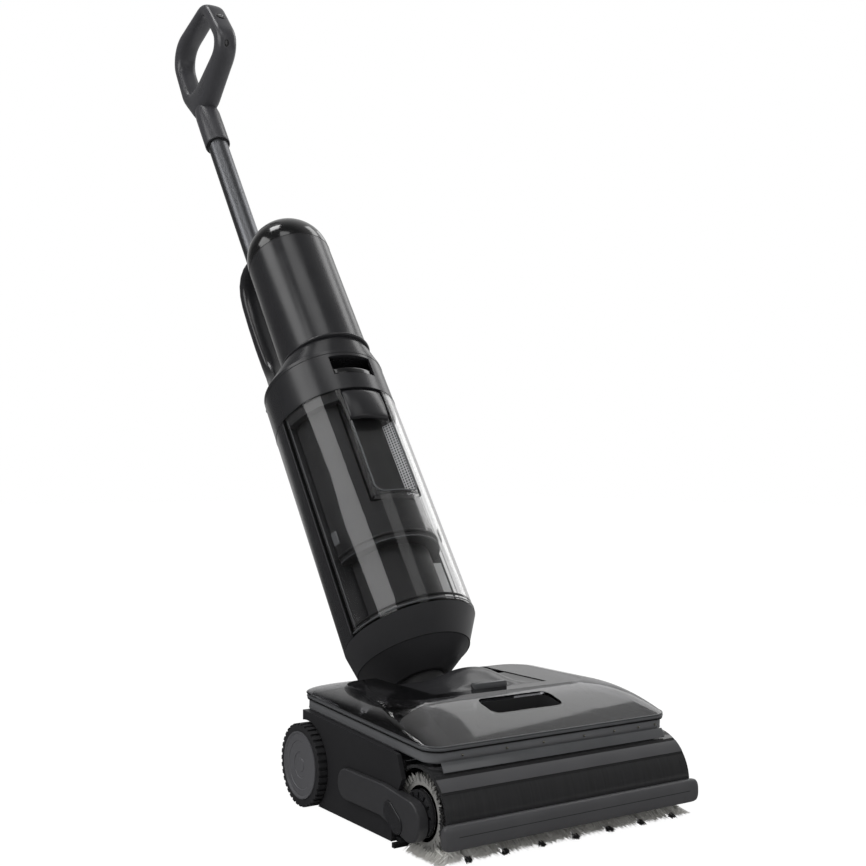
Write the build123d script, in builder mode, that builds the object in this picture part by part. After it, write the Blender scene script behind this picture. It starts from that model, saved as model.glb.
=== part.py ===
"""Wet dry floor scrubber: an upright stick washer with a driven brush roller and a lift-out dirty water tank."""
import os
from math import atan2, cos, radians, sin, sqrt

from build123d import *

os.makedirs("parts", exist_ok=True)

# Driving dimensions in millimetres. X is across the machine, Y runs from front to rear, Z is up.
# The origin is on the floor, at the middle of the squeegee's edge.

# General clearances
SEAT_GAP = 0.3
SHAFT_GAP = 0.05
RUN_GAP = 1.0

# Head: its width follows the roller's length
ROLLER_HALF = 124.0
ROLLER_END_GAP = 5.0
SIDE_WALL = 4.0
BELLY_Z = 4.0
FLOOR_WALL = 5.0
HEAD_REAR_Y = 158.0
BELLY_RAKE = 26.0
BACK_WALL = 3.5
FRONT_WALL_Y = 8.0
FRONT_WALL = 3.0
CHEEK_Y = -12.0
CHEEK_Z = 57.0
CHEEK_FOOT_Y = 4.0
CHEEK_FOOT_Z = 30.0

# Notch in the rear of the head, where the column leans
NOTCH_HALF = 62.0
NOTCH_Y = 112.0
NOTCH_WALL = 6.0
NOTCH_FLOOR_Z = 30.0

# Rim line of the clear cover, which slopes up to the rear
RIM_FRONT_Y = -45.0
RIM_FRONT_Z = 82.5
RIM_REAR_Y = 170.0
RIM_REAR_Z = 95.1
RIM_CORNER = 16.0
RIM_INSET = 4.5
BAND_HEIGHT = 9.0
BAND_INSET = 2.0
BAND_WALL = 3.0
RIM_LIP = 4.0
CROWN_Z = 108.0
CROWN_INSET = 15.0
CROWN_FRONT_Y = 22.0
CROWN_REAR_Y = 156.0
CROWN_CORNER = 24.0
SHOULDER_DROP = 3.5
SHOULDER_OUT = 7.0
CROWN_IN = 10.0
DECK_WALL = 3.0
DECK_LEDGE = 10.0
COVER_WALL = 2.5

# Hand window in the clear cover
WINDOW_HALF = 38.5
WINDOW_FRONT_Y = -8.0
WINDOW_REAR_Y = 20.0
WINDOW_CORNER = 8.0
WELL_WALL = 2.0

# Brush roller and its bay
ROLLER_Y = -28.0
PILE_R = 32.5
ROLLER_Z = PILE_R
CORE_R = 22.0
CORE_WALL = 3.0
HUB_R = 19.0
HUB_RISE = 3.5
HUB_SLOTS = 12
HUB_SLOT_INSET = 4.0
HUB_SLOT_LENGTH = 5.0
HUB_SLOT_WIDTH = 2.4
HUB_SLOT_DEPTH = 2.0
STUB_R = 4.0
STUB_LAP = 1.5
STUB_POCKET = 2.0

# Clear shroud, bumper and beam at the front
SHROUD_Y = -29.0
SHROUD_Z = 31.0
SHROUD_R = 40.0
SHROUD_WALL = 2.5
SHROUD_INSET = 5.0
SHROUD_TOP_DEG = 62.0
SHROUD_LIP_Z = 15.0
BUMPER_OVER = 1.0
BUMPER_DEPTH = 7.0
BUMPER_LOW_Z = 14.0
BUMPER_HIGH_Z = 30.0
BUMPER_ROUND = 2.5
BEAM_REAR_Y = 6.0
BEAM_HEIGHT = 9.0
BEAM_ROUND = 1.5
SPRAY_INSET = 12.0
SPRAY_DEPTH = 6.0
SPRAY_HEIGHT = 5.0
NOZZLES = 9
NOZZLE_R = 0.8

# Side arms that carry the roller's ends
ARM_RISE = 5.0
ARM_CAP = 3.5
ARM_WALL = 2.5
ARM_R = 13.0
ARM_ROUND = 1.5
ARM_REAR_Y = 72.0
ARM_Z = 36.0
ARM_BEND_Y = 12.0
ARM_HUB_Y = -27.5
ARM_HUB_Z = 28.0
ARM_HUB_R = 16.5
PILL_HALF = 15.0
PILL_R = 8.0
PILL_Y = -6.0
PILL_Z = 26.0
PILL_TILT = 34.0
PILL_RISE = 1.0
PILL_DEPTH = 2.5
PILL_TRAVEL = 1.0
PILL_GAP = 0.4
PILL_ROUND = 0.8

# Drive of the roller
MOTOR_R = 18.0
MOTOR_FOOT_INSET = 4.0
MOTOR_SHAFT_R = 3.0
MOTOR_PULLEY_R = 5.0
ROLLER_PULLEY_R = 7.0
PULLEY_WIDTH = 4.6
BELT_WIDTH = 4.0
BELT_WALL = 1.4
POD_FRONT_Y = 12.0
POD_REAR_Y = 104.0
POD_WALL = 2.0
POD_TOP_Z = 93.0
POD_NOSE_Z = 74.0
POD_ROUND = 5.0

# Squeegee
SQUEEGEE_OVER = 1.0
SQUEEGEE_THICK = 4.0
SQUEEGEE_HEIGHT = 4.0
HOLDER_HEIGHT = 3.5

# Suction channel on the head's floor
CHANNEL_HALF = 35.0
CHANNEL_HEIGHT = 40.0
CHANNEL_WALL = 3.0

# Rear wheels
WHEEL_Y = 150.0
WHEEL_R = 37.0
WHEEL_DISC_R = 30.0
WHEEL_OVER = 8.0
WHEEL_WIDTH = 18.0
WHEEL_WELL_GAP = 2.5
AXLE_R = 4.0
AXLE_SHORT = 2.0
WHEEL_FACE = 1.5
TYRE_STEP = 1.0
TREAD_LUGS = 36
TREAD_CUT = 2.6
TREAD_DEPTH = 1.6

# Column pivot and lean at rest
PIVOT_Y = 150.0
PIVOT_Z = 75.0
LEAN = 35.5
PIN_R = 5.0
EAR_R = 14.0
EAR_IN = 33.0
EAR_WALL = 8.0
BRACKET_PLATE = 4.0
BRACKET_OVER = 4.0
PIN_OVER = 2.0
YOKE_HUB_R = 17.0
NECK_R = 24.0
SPIGOT_R = 19.0
SPIGOT_TOP = 46.0

# Fairing in front of the column
FAIRING_FRONT_Y = 48.0
FAIRING_TOP_Z = 117.0
FAIRING_ROUND = 14.0
FAIRING_WALL = 3.0
FAIRING_NOSE_DROP = 4.0
FAIRING_TAIL_DROP = 3.0
FAIRING_RAMP_Y = 76.0
FAIRING_BACK_Y = 92.0
FAIRING_REAR_GAP = 2.0
PRESS_HALF = 18.5
PRESS_FRONT_Y = 52.0
PRESS_LENGTH = 20.0
PRESS_RISE = 2.0
PRESS_DEPTH = 6.0
PRESS_ROUND = 1.2

# Lower column: distances along the column are from its pivot, offsets are to the rear of its axis
CUP_LOW = 26.0
CUP_EDGE = 48.0
TANK_LOW = 72.0
TANK_HIGH = 332.0
BODY_R = 68.0
BODY_BACK = -10.0
CUP_LOW_R = 29.0
CUP_EDGE_R = 58.0
CUP_EDGE_BACK = -1.0
CUP_CAVITY_R = 54.0
CUP_CAVITY_BACK = -4.0
BODY_WALL = 3.0
SEAM_BACK = -15.0

# Pump, battery and control board in the back housing
PUMP_R = 16.0
PUMP_HEIGHT = 44.0
PUMP_PORT_R = 4.0
PUMP_PORT_HEIGHT = 8.0
BATTERY_WIDTH = 66.0
BATTERY_DEPTH = 40.0
BATTERY_LOW = 140.0
BATTERY_HEIGHT = 130.0
BATTERY_ROUND = 6.0
CONTROL_WIDTH = 60.0
CONTROL_HEIGHT = 42.0
CONTROL_GAP = 5.0

# Dirty water tank
TANK_WALL = 2.5
TANK_GAP = 0.4
GRIP_HALF = 25.0
GRIP_DEPTH = 15.0
GRIP_LOW = 200.0
LATCH_LOW = 294.0
LATCH_GAP = 0.4
LATCH_THICK = 12.0
LID_HEIGHT = 12.0
BASKET_R = 57.0
BASKET_LOW = 150.0
BASKET_WALL = 2.0
DUCT_R = 46.0
INNER_GAP = 1.0

# Collar and upper body
COLLAR_SHOULDER = 384.0
COLLAR_TOP = 402.0
COLLAR_WALL = 4.0
SLOT_HALF = 25.0
SLOT_LOW = 352.0
SLOT_HIGH = 376.0
UPPER_R = 49.0
UPPER_BACK = -31.0
UPPER_TOP = 556.0
UPPER_WALL = 3.0
DOME_SKIRT = 4.0

# Fan unit in the upper body
FAN_MOTOR_R = 38.0
FAN_MOTOR_LENGTH = 66.0
IMPELLER_R = 34.0
IMPELLER_HEIGHT = 12.0
BLADES = 9
BLADE_WALL = 1.6
BLADE_SHORT = 2.0
BACKPLATE = 2.0
FAN_SHAFT_R = 3.0
BOARD_THICK = 2.0

# Handle tube and carry handle
TUBE_R = 13.0
TUBE_WALL = 1.5
TUBE_BACK = 33.0
TUBE_LOW = 430.0
TUBE_HIGH = 846.0
CARRY_HALF = 17.0
CARRY_THICK = 17.0
CARRY_LOW_BACK = 67.0
CARRY_HIGH_BACK = 59.0
CARRY_LOW = 470.0
CARRY_HIGH = 606.0
CARRY_BRIDGE = 16.0
BRIDGE_WALL = 4.0
BRIDGE_ROUND = 13.0
CARRY_ROUND = 7.0
FOOT_HALF = 48.0
FOOT_REAR = 46.0

# Loop handle
SLEEVE_R = 16.5
SLEEVE_LAP = 18.0
SLEEVE_RISE = 50.0
LOOP_HALF = 14.0
LOOP_BAR = 26.0
LOOP_OPEN_RISE = 108.0
LOOP_OPEN_ROUND = 9.0
LOOP_ROUND = 10.0
BUTTON_R = 5.5
BUTTON_RISE = 0.8
BUTTON_DEPTH = 4.0
BUTTON_GAP = 0.3
BUTTON_TRAVEL = 1.0
LOOP_RISES = [(50, 47), (63, 99), (56, 198), (-67, 157), (-79, 59), (16.5, 42)]
LOOP_CORNER = 34.0
LOOP_NECK_CORNER = 11.0
POWER_ALONG = 0.6
MODE_ALONG = 0.58

# Places worked out from the driving dimensions
HEAD_INNER = ROLLER_HALF + ROLLER_END_GAP
HEAD_HALF = HEAD_INNER + SIDE_WALL
RIM_HALF = HEAD_HALF - RIM_INSET
CROWN_HALF = RIM_HALF - CROWN_INSET
SHROUD_HALF = HEAD_HALF - SHROUD_INSET
BUMPER_HALF = HEAD_HALF + BUMPER_OVER
SQUEEGEE_HALF = HEAD_HALF + SQUEEGEE_OVER
WHEEL_OUT_X = HEAD_HALF + WHEEL_OVER
LEAN_SIN = sin(radians(LEAN))
LEAN_COS = cos(radians(LEAN))
PIVOT = (0, PIVOT_Y, PIVOT_Z)
RIM_LENGTH = sqrt((RIM_REAR_Y - RIM_FRONT_Y) ** 2 + (RIM_REAR_Z - RIM_FRONT_Z) ** 2)
RIM_SIN = (RIM_REAR_Z - RIM_FRONT_Z) / RIM_LENGTH
RIM_COS = (RIM_REAR_Y - RIM_FRONT_Y) / RIM_LENGTH
DECK_DROP = BAND_HEIGHT + 2 * SEAT_GAP
NOTCH_FRONT_Y = NOTCH_Y - NOTCH_WALL
BODY_FRONT = BODY_BACK - BODY_R
SLEEVE_LOW = TUBE_HIGH - SLEEVE_LAP
SLEEVE_HIGH = TUBE_HIGH + SLEEVE_RISE
LOOP_POINTS = [(back, TUBE_HIGH + rise) for back, rise in LOOP_RISES]
ARM_OUT = HEAD_HALF + ARM_RISE
WELL_X = WHEEL_OUT_X - WHEEL_WIDTH - WHEEL_WELL_GAP
NOTCH_OUTER = NOTCH_HALF + NOTCH_WALL
FRONT_BAY_Y = FRONT_WALL_Y + FRONT_WALL
ARM_INNER = ARM_OUT - ARM_CAP
POD_OUT_X = HEAD_INNER - DECK_LEDGE - RUN_GAP
POD_WIDTH = POD_OUT_X - NOTCH_HALF - RUN_GAP
MOTOR_OUT_X = POD_OUT_X - POD_WALL - RUN_GAP
MOTOR_LENGTH = POD_WIDTH - 2 * POD_WALL - 2 * RUN_GAP

# The rim plane carries the clear cover. The column plane looks up the column, and its local y is to the rear.
# The side plane holds profiles of the column, seen from its right.
RIM = Plane(origin=(0, RIM_FRONT_Y, RIM_FRONT_Z), x_dir=(1, 0, 0), z_dir=(0, -RIM_SIN, RIM_COS))
COLUMN = Plane(origin=PIVOT, x_dir=(1, 0, 0), z_dir=(0, LEAN_SIN, LEAN_COS))
SIDE = Plane(origin=PIVOT, x_dir=(0, LEAN_COS, -LEAN_SIN), z_dir=(1, 0, 0))


def save(piece, label):
    """Label a finished piece and write its STEP file."""
    piece.part.label = label
    export_step(piece.part, f"parts/{label}.step")


def tangent_band(center_a, radius_a, center_b, radius_b):
    """Draw two circles and the straight band that touches both."""
    run = sqrt((center_b[0] - center_a[0]) ** 2 + (center_b[1] - center_a[1]) ** 2)
    heading = atan2(center_b[1] - center_a[1], center_b[0] - center_a[0])
    spread = atan2(sqrt(run**2 - (radius_a - radius_b) ** 2), radius_a - radius_b)
    corners = [
        (c[0] + r * cos(heading + turn), c[1] + r * sin(heading + turn))
        for c, r, turn in (
            (center_a, radius_a, spread),
            (center_b, radius_b, spread),
            (center_b, radius_b, -spread),
            (center_a, radius_a, -spread),
        )
    ]
    Polygon(*corners, align=None)
    with Locations(center_a):
        Circle(radius_a)
    with Locations(center_b):
        Circle(radius_b)


def arm_outline(inset):
    """Draw the side arm's outline, pulled in by the inset."""
    bend = (ARM_BEND_Y, ARM_Z)
    tangent_band((ARM_REAR_Y, ARM_Z), ARM_R - inset, bend, ARM_R - inset)
    tangent_band(bend, ARM_R - inset, (ARM_HUB_Y, ARM_HUB_Z), ARM_HUB_R - inset)


def body_half(radius, back_low, back_high):
    """Draw the part of a round column section that lies between two offsets."""
    with Locations((0, BODY_BACK)):
        Circle(radius)
    with Locations((0, (back_low + back_high) / 2)):
        Rectangle(4 * radius, back_high - back_low, mode=Mode.INTERSECT)


# Head chassis: a tray with side cheeks, a ledge for the clear cover, wheel wells and the column's notch
with BuildPart() as chassis_hollow:
    with BuildSketch(Plane.XY.offset(BELLY_Z + FLOOR_WALL)):
        with Locations((0, FRONT_BAY_Y)):
            Rectangle(2 * HEAD_INNER, NOTCH_FRONT_Y - FRONT_BAY_Y, align=(Align.CENTER, Align.MIN))
        rear_bay = WELL_X - SIDE_WALL - NOTCH_OUTER
        rear_depth = HEAD_REAR_Y - BACK_WALL - NOTCH_FRONT_Y
        for side in (-1, 1):
            with Locations((side * (NOTCH_OUTER + rear_bay / 2), NOTCH_FRONT_Y)):
                Rectangle(rear_bay, rear_depth, align=(Align.CENTER, Align.MIN))
    extrude(amount=RIM_REAR_Z)
    split(bisect_by=RIM.offset(-DECK_DROP - DECK_WALL), keep=Keep.BOTTOM)
    with BuildSketch(Plane.XY.offset(BELLY_Z + FLOOR_WALL)):
        with Locations((0, FRONT_BAY_Y)):
            Rectangle(2 * (HEAD_INNER - DECK_LEDGE), NOTCH_FRONT_Y - FRONT_BAY_Y, align=(Align.CENTER, Align.MIN))
    extrude(amount=RIM_REAR_Z)

with BuildPart() as head_chassis:
    with BuildSketch(Plane.YZ.offset(-HEAD_HALF)):
        Polygon(
            (CHEEK_FOOT_Y, BELLY_Z),
            (HEAD_REAR_Y - BELLY_RAKE, BELLY_Z),
            (HEAD_REAR_Y, BELLY_Z + BELLY_RAKE),
            (HEAD_REAR_Y, RIM_REAR_Z),
            (CHEEK_FOOT_Y, RIM_REAR_Z),
            (CHEEK_Y, CHEEK_Z),
            (CHEEK_FOOT_Y, CHEEK_FOOT_Z),
            align=None,
        )
    extrude(amount=2 * HEAD_HALF)
    split(bisect_by=RIM.offset(-DECK_DROP), keep=Keep.BOTTOM)
    add(chassis_hollow.part, mode=Mode.SUBTRACT)
    with BuildSketch(Plane.YZ.offset(-HEAD_INNER)):
        with Locations((FRONT_WALL_Y, 0)):
            Rectangle(2 * PILE_R, 2 * RIM_REAR_Z, align=(Align.MAX, Align.CENTER))
    extrude(amount=2 * HEAD_INNER, mode=Mode.SUBTRACT)
    with BuildSketch(Plane.XY.offset(NOTCH_FLOOR_Z)):
        with Locations((0, NOTCH_Y)):
            Rectangle(2 * NOTCH_HALF, HEAD_REAR_Y, align=(Align.CENTER, Align.MIN))
    extrude(amount=RIM_REAR_Z, mode=Mode.SUBTRACT)
    for side in (-1, 1):
        with BuildSketch(Plane.YZ.offset(side * WELL_X)):
            with Locations((WHEEL_Y, WHEEL_R)):
                Circle(WHEEL_R + WHEEL_WELL_GAP)
        extrude(amount=side * WHEEL_WIDTH, mode=Mode.SUBTRACT)
        with BuildSketch(Plane.YZ.offset(side * (WELL_X - SIDE_WALL))):
            with Locations((WHEEL_Y, WHEEL_R)):
                Circle(AXLE_R + SHAFT_GAP)
        extrude(amount=side * SIDE_WALL, mode=Mode.SUBTRACT)
        with BuildSketch(Plane.YZ.offset(side * HEAD_INNER)):
            arm_outline(-SEAT_GAP)
        extrude(amount=side * SIDE_WALL, mode=Mode.SUBTRACT)
save(head_chassis, "head_chassis")


def rim_outline(inset):
    """Draw the cover's rounded outline on the rim plane, pulled in by the inset."""
    with Locations((0, RIM_LENGTH / 2)):
        RectangleRounded(2 * (RIM_HALF - inset), RIM_LENGTH - 2 * inset, RIM_CORNER - inset)


def crown_outline(inset):
    """Draw the flat crown of the clear cover, pulled in by the inset."""
    with Locations((0, (CROWN_FRONT_Y + CROWN_REAR_Y) / 2)):
        RectangleRounded(2 * (CROWN_HALF - inset), CROWN_REAR_Y - CROWN_FRONT_Y - 2 * inset, CROWN_CORNER)


# Clear band around the head, below the cover's rim
BAND_CUT_HALF = NOTCH_HALF + SEAT_GAP
with BuildPart() as cover_band:
    with BuildSketch(RIM.offset(-SEAT_GAP)):
        rim_outline(BAND_INSET)
    extrude(amount=-BAND_HEIGHT)
    with BuildSketch(RIM.offset(-SEAT_GAP)):
        rim_outline(BAND_INSET + BAND_WALL)
    extrude(amount=-BAND_HEIGHT, mode=Mode.SUBTRACT)
    with BuildSketch(Plane.XY):
        with Locations((0, NOTCH_Y)):
            Rectangle(2 * BAND_CUT_HALF, HEAD_REAR_Y, align=(Align.CENTER, Align.MIN))
    extrude(amount=2 * CROWN_Z, mode=Mode.SUBTRACT)
save(cover_band, "cover_band")

# Clear cover: a crowned shell with a hand window, open at the rear for the column and its fairing
with BuildPart() as cover_hollow:
    with BuildSketch(RIM):
        rim_outline(COVER_WALL)
    extrude(amount=RIM_LIP)
    with BuildSketch(RIM.offset(RIM_LIP)):
        rim_outline(COVER_WALL)
    with BuildSketch(Plane.XY.offset(CROWN_Z - SHOULDER_DROP - COVER_WALL)):
        crown_outline(COVER_WALL - SHOULDER_OUT)
    with BuildSketch(Plane.XY.offset(CROWN_Z - COVER_WALL)):
        crown_outline(COVER_WALL + CROWN_IN)
    loft()

with BuildPart() as top_cover:
    with BuildSketch(RIM):
        rim_outline(0)
    extrude(amount=RIM_LIP)
    with BuildSketch(RIM.offset(RIM_LIP)):
        rim_outline(0)
    with BuildSketch(Plane.XY.offset(CROWN_Z - SHOULDER_DROP)):
        crown_outline(-SHOULDER_OUT)
    with BuildSketch(Plane.XY.offset(CROWN_Z)):
        crown_outline(CROWN_IN)
    loft()
    add(cover_hollow.part, mode=Mode.SUBTRACT)
    with BuildSketch(Plane.XY):
        with Locations((0, (WINDOW_FRONT_Y + WINDOW_REAR_Y) / 2)):
            RectangleRounded(2 * WINDOW_HALF, WINDOW_REAR_Y - WINDOW_FRONT_Y, WINDOW_CORNER)
        with Locations((0, FAIRING_FRONT_Y - SEAT_GAP)):
            Rectangle(2 * BAND_CUT_HALF, 2 * HEAD_REAR_Y, align=(Align.CENTER, Align.MIN))
    extrude(amount=2 * CROWN_Z, mode=Mode.SUBTRACT)
save(top_cover, "top_cover")

# Front beam between the cheeks, above the roller
SHROUD_END_Y = SHROUD_Y + SHROUD_R * cos(radians(SHROUD_TOP_DEG))
SHROUD_END_Z = SHROUD_Z + SHROUD_R * sin(radians(SHROUD_TOP_DEG))
BEAM_FRONT_Y = SHROUD_END_Y + SEAT_GAP
BEAM_LOW_Z = SHROUD_END_Z - BEAM_HEIGHT / 2
BEAM_HIGH_Z = BEAM_LOW_Z + BEAM_HEIGHT
with BuildPart() as front_beam:
    with BuildSketch(Plane.YZ.offset(-HEAD_INNER + SEAT_GAP)):
        with Locations((BEAM_FRONT_Y, BEAM_LOW_Z)):
            Rectangle(BEAM_REAR_Y - BEAM_FRONT_Y, BEAM_HEIGHT, align=(Align.MIN, Align.MIN))
    extrude(amount=2 * (HEAD_INNER - SEAT_GAP))
    fillet(front_beam.edges().filter_by(Axis.X), BEAM_ROUND)
save(front_beam, "front_beam")

# Dark well under the hand window, standing on the beam
with BuildPart() as hand_well:
    well_depth = WINDOW_REAR_Y - WINDOW_FRONT_Y
    well_y = (WINDOW_FRONT_Y + WINDOW_REAR_Y) / 2
    with BuildSketch(Plane.XY.offset(BEAM_HIGH_Z + SEAT_GAP)):
        with Locations((0, well_y)):
            RectangleRounded(2 * (WINDOW_HALF + WELL_WALL), well_depth + 2 * WELL_WALL, WINDOW_CORNER + WELL_WALL)
    extrude(amount=CROWN_Z)
    with BuildSketch(Plane.XY.offset(BEAM_HIGH_Z + SEAT_GAP + WELL_WALL)):
        with Locations((0, well_y)):
            RectangleRounded(2 * WINDOW_HALF, well_depth, WINDOW_CORNER)
    extrude(amount=CROWN_Z, mode=Mode.SUBTRACT)
    with Locations((0, 0, -SEAT_GAP)):
        add(cover_hollow.part, mode=Mode.INTERSECT)
save(hand_well, "hand_well")

# Clear shroud over the front of the roller
with BuildPart() as roller_shroud:
    with BuildSketch(Plane.YZ.offset(-SHROUD_HALF)):
        with BuildLine():
            outer = CenterArc((SHROUD_Y, SHROUD_Z), SHROUD_R, SHROUD_TOP_DEG, 180 - SHROUD_TOP_DEG)
            inner = CenterArc((SHROUD_Y, SHROUD_Z), SHROUD_R - SHROUD_WALL, SHROUD_TOP_DEG, 180 - SHROUD_TOP_DEG)
            Line(outer @ 0, inner @ 0)
            Polyline(
                outer @ 1,
                (SHROUD_Y - SHROUD_R, SHROUD_LIP_Z),
                (SHROUD_Y - SHROUD_R + SHROUD_WALL, SHROUD_LIP_Z),
                inner @ 1,
            )
        make_face()
    extrude(amount=2 * SHROUD_HALF)
save(roller_shroud, "roller_shroud")

# Soft bumper strip along the shroud's lower lip
with BuildPart() as front_bumper:
    bumper_y = SHROUD_Y - SHROUD_R - SEAT_GAP
    with BuildSketch(Plane.YZ.offset(-BUMPER_HALF)):
        with Locations((bumper_y, BUMPER_LOW_Z)):
            Rectangle(BUMPER_DEPTH, BUMPER_HIGH_Z - BUMPER_LOW_Z, align=(Align.MAX, Align.MIN))
    extrude(amount=2 * BUMPER_HALF)
    fillet(front_bumper.edges().filter_by(Axis.Z).sort_by(Axis.Y)[:2], BUMPER_DEPTH - RUN_GAP)
    fillet(front_bumper.faces().sort_by(Axis.Y)[0].edges(), BUMPER_ROUND)
save(front_bumper, "front_bumper")

# Water bar with its row of nozzles, on top of the shroud
SPRAY_HALF = ROLLER_HALF - SPRAY_INSET
with BuildPart() as spray_bar:
    spray_z = SHROUD_Z + SHROUD_R + SEAT_GAP
    with BuildSketch(Plane.XY.offset(spray_z)):
        with Locations((0, SHROUD_Y)):
            Rectangle(2 * SPRAY_HALF, SPRAY_DEPTH)
    extrude(amount=SPRAY_HEIGHT)
    with BuildSketch(Plane.XZ.offset(-SHROUD_Y)):
        with Locations((0, spray_z + SPRAY_HEIGHT / 2)):
            with GridLocations(2 * SPRAY_HALF / NOZZLES, 1, NOZZLES, 1):
                Circle(NOZZLE_R)
    extrude(amount=SPRAY_DEPTH, mode=Mode.SUBTRACT)
save(spray_bar, "spray_bar")

# Brush roller: shaft, core tube with end webs, slotted hubs, pile and belt pulley
with BuildPart() as roller_shaft:
    with BuildSketch(Plane.YZ.offset(-ARM_INNER - STUB_LAP)):
        with Locations((ROLLER_Y, ROLLER_Z)):
            Circle(STUB_R)
    extrude(amount=2 * (ARM_INNER + STUB_LAP))
save(roller_shaft, "roller_shaft")

with BuildPart() as roller_core:
    with BuildSketch(Plane.YZ.offset(-ROLLER_HALF)):
        with Locations((ROLLER_Y, ROLLER_Z)):
            Circle(CORE_R)
            Circle(CORE_R - CORE_WALL, mode=Mode.SUBTRACT)
    extrude(amount=2 * ROLLER_HALF)
save(roller_core, "roller_core")

with BuildPart() as roller_pile:
    with BuildSketch(Plane.YZ.offset(-ROLLER_HALF)):
        with Locations((ROLLER_Y, ROLLER_Z)):
            Circle(PILE_R)
            Circle(CORE_R + SEAT_GAP, mode=Mode.SUBTRACT)
    extrude(amount=2 * ROLLER_HALF)
save(roller_pile, "roller_pile")

for side, name in ((-1, "left"), (1, "right")):
    with BuildPart() as roller_hub:
        hub_plug = CORE_R - CORE_WALL - SEAT_GAP
        with BuildSketch(Plane.YZ.offset(side * (ROLLER_HALF + SEAT_GAP))):
            with Locations((ROLLER_Y, ROLLER_Z)):
                Circle(HUB_R)
        extrude(amount=side * HUB_RISE)
        with BuildSketch(Plane.YZ.offset(side * (ROLLER_HALF + SEAT_GAP))):
            with Locations((ROLLER_Y, ROLLER_Z)):
                Circle(hub_plug)
        extrude(amount=-side * 3 * HUB_RISE)
        with BuildSketch(Plane.YZ.offset(side * (ROLLER_HALF + SEAT_GAP + HUB_RISE))):
            with Locations((ROLLER_Y, ROLLER_Z)):
                with PolarLocations(HUB_R - HUB_SLOT_INSET, HUB_SLOTS):
                    Rectangle(HUB_SLOT_LENGTH, HUB_SLOT_WIDTH)
        extrude(amount=-side * HUB_SLOT_DEPTH, mode=Mode.SUBTRACT)
        with BuildSketch(Plane.YZ.offset(side * HEAD_HALF)):
            with Locations((ROLLER_Y, ROLLER_Z)):
                Circle(STUB_R + SHAFT_GAP)
        extrude(amount=-side * HEAD_HALF, mode=Mode.SUBTRACT)
    save(roller_hub, f"roller_hub_{name}")

# Belt drive inside the left arm, with its motor in the head
HUB_FACE = ROLLER_HALF + SEAT_GAP + HUB_RISE
PULLEY_X = HUB_FACE + RUN_GAP
with BuildPart() as roller_pulley:
    with BuildSketch(Plane.YZ.offset(-PULLEY_X)):
        with Locations((ROLLER_Y, ROLLER_Z)):
            Circle(ROLLER_PULLEY_R)
            Circle(STUB_R + SHAFT_GAP, mode=Mode.SUBTRACT)
    extrude(amount=-PULLEY_WIDTH)
save(roller_pulley, "roller_pulley")

with BuildPart() as brush_motor:
    with BuildSketch(Plane.YZ.offset(-MOTOR_OUT_X)):
        with Locations((ARM_REAR_Y, ARM_Z)):
            Circle(MOTOR_R)
    extrude(amount=MOTOR_LENGTH)
    foot_top = ARM_Z - MOTOR_R / 2
    foot_low = BELLY_Z + FLOOR_WALL + SEAT_GAP
    with BuildSketch(Plane.YZ.offset(-MOTOR_OUT_X + MOTOR_FOOT_INSET)):
        with Locations((ARM_REAR_Y, foot_low)):
            Rectangle(MOTOR_R, foot_top - foot_low, align=(Align.CENTER, Align.MIN))
    extrude(amount=MOTOR_LENGTH - 2 * MOTOR_FOOT_INSET)
    with BuildSketch(Plane.YZ.offset(-MOTOR_OUT_X)):
        with Locations((ARM_REAR_Y, ARM_Z)):
            Circle(MOTOR_SHAFT_R + SHAFT_GAP)
    extrude(amount=MOTOR_LENGTH / 2, mode=Mode.SUBTRACT)
save(brush_motor, "brush_motor")

with BuildPart() as motor_pulley:
    with BuildSketch(Plane.YZ.offset(-PULLEY_X)):
        with Locations((ARM_REAR_Y, ARM_Z)):
            Circle(MOTOR_PULLEY_R)
    extrude(amount=-PULLEY_WIDTH)
    with BuildSketch(Plane.YZ.offset(-PULLEY_X)):
        with Locations((ARM_REAR_Y, ARM_Z)):
            Circle(MOTOR_SHAFT_R)
    extrude(amount=PULLEY_X - MOTOR_OUT_X + MOTOR_LENGTH / 2 - RUN_GAP)
save(motor_pulley, "motor_pulley")

with BuildPart() as drive_belt:
    belt_x = PULLEY_X + (PULLEY_WIDTH - BELT_WIDTH) / 2
    pulleys = ((ARM_REAR_Y, ARM_Z), MOTOR_PULLEY_R), ((ROLLER_Y, ROLLER_Z), ROLLER_PULLEY_R)
    (motor_at, motor_r), (roller_at, roller_r) = pulleys
    with BuildSketch(Plane.YZ.offset(-belt_x)):
        tangent_band(motor_at, motor_r + SEAT_GAP + BELT_WALL, roller_at, roller_r + SEAT_GAP + BELT_WALL)
    extrude(amount=-BELT_WIDTH)
    with BuildSketch(Plane.YZ.offset(-belt_x)):
        tangent_band(motor_at, motor_r + SEAT_GAP, roller_at, roller_r + SEAT_GAP)
    extrude(amount=-BELT_WIDTH, mode=Mode.SUBTRACT)
save(drive_belt, "drive_belt")

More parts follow.
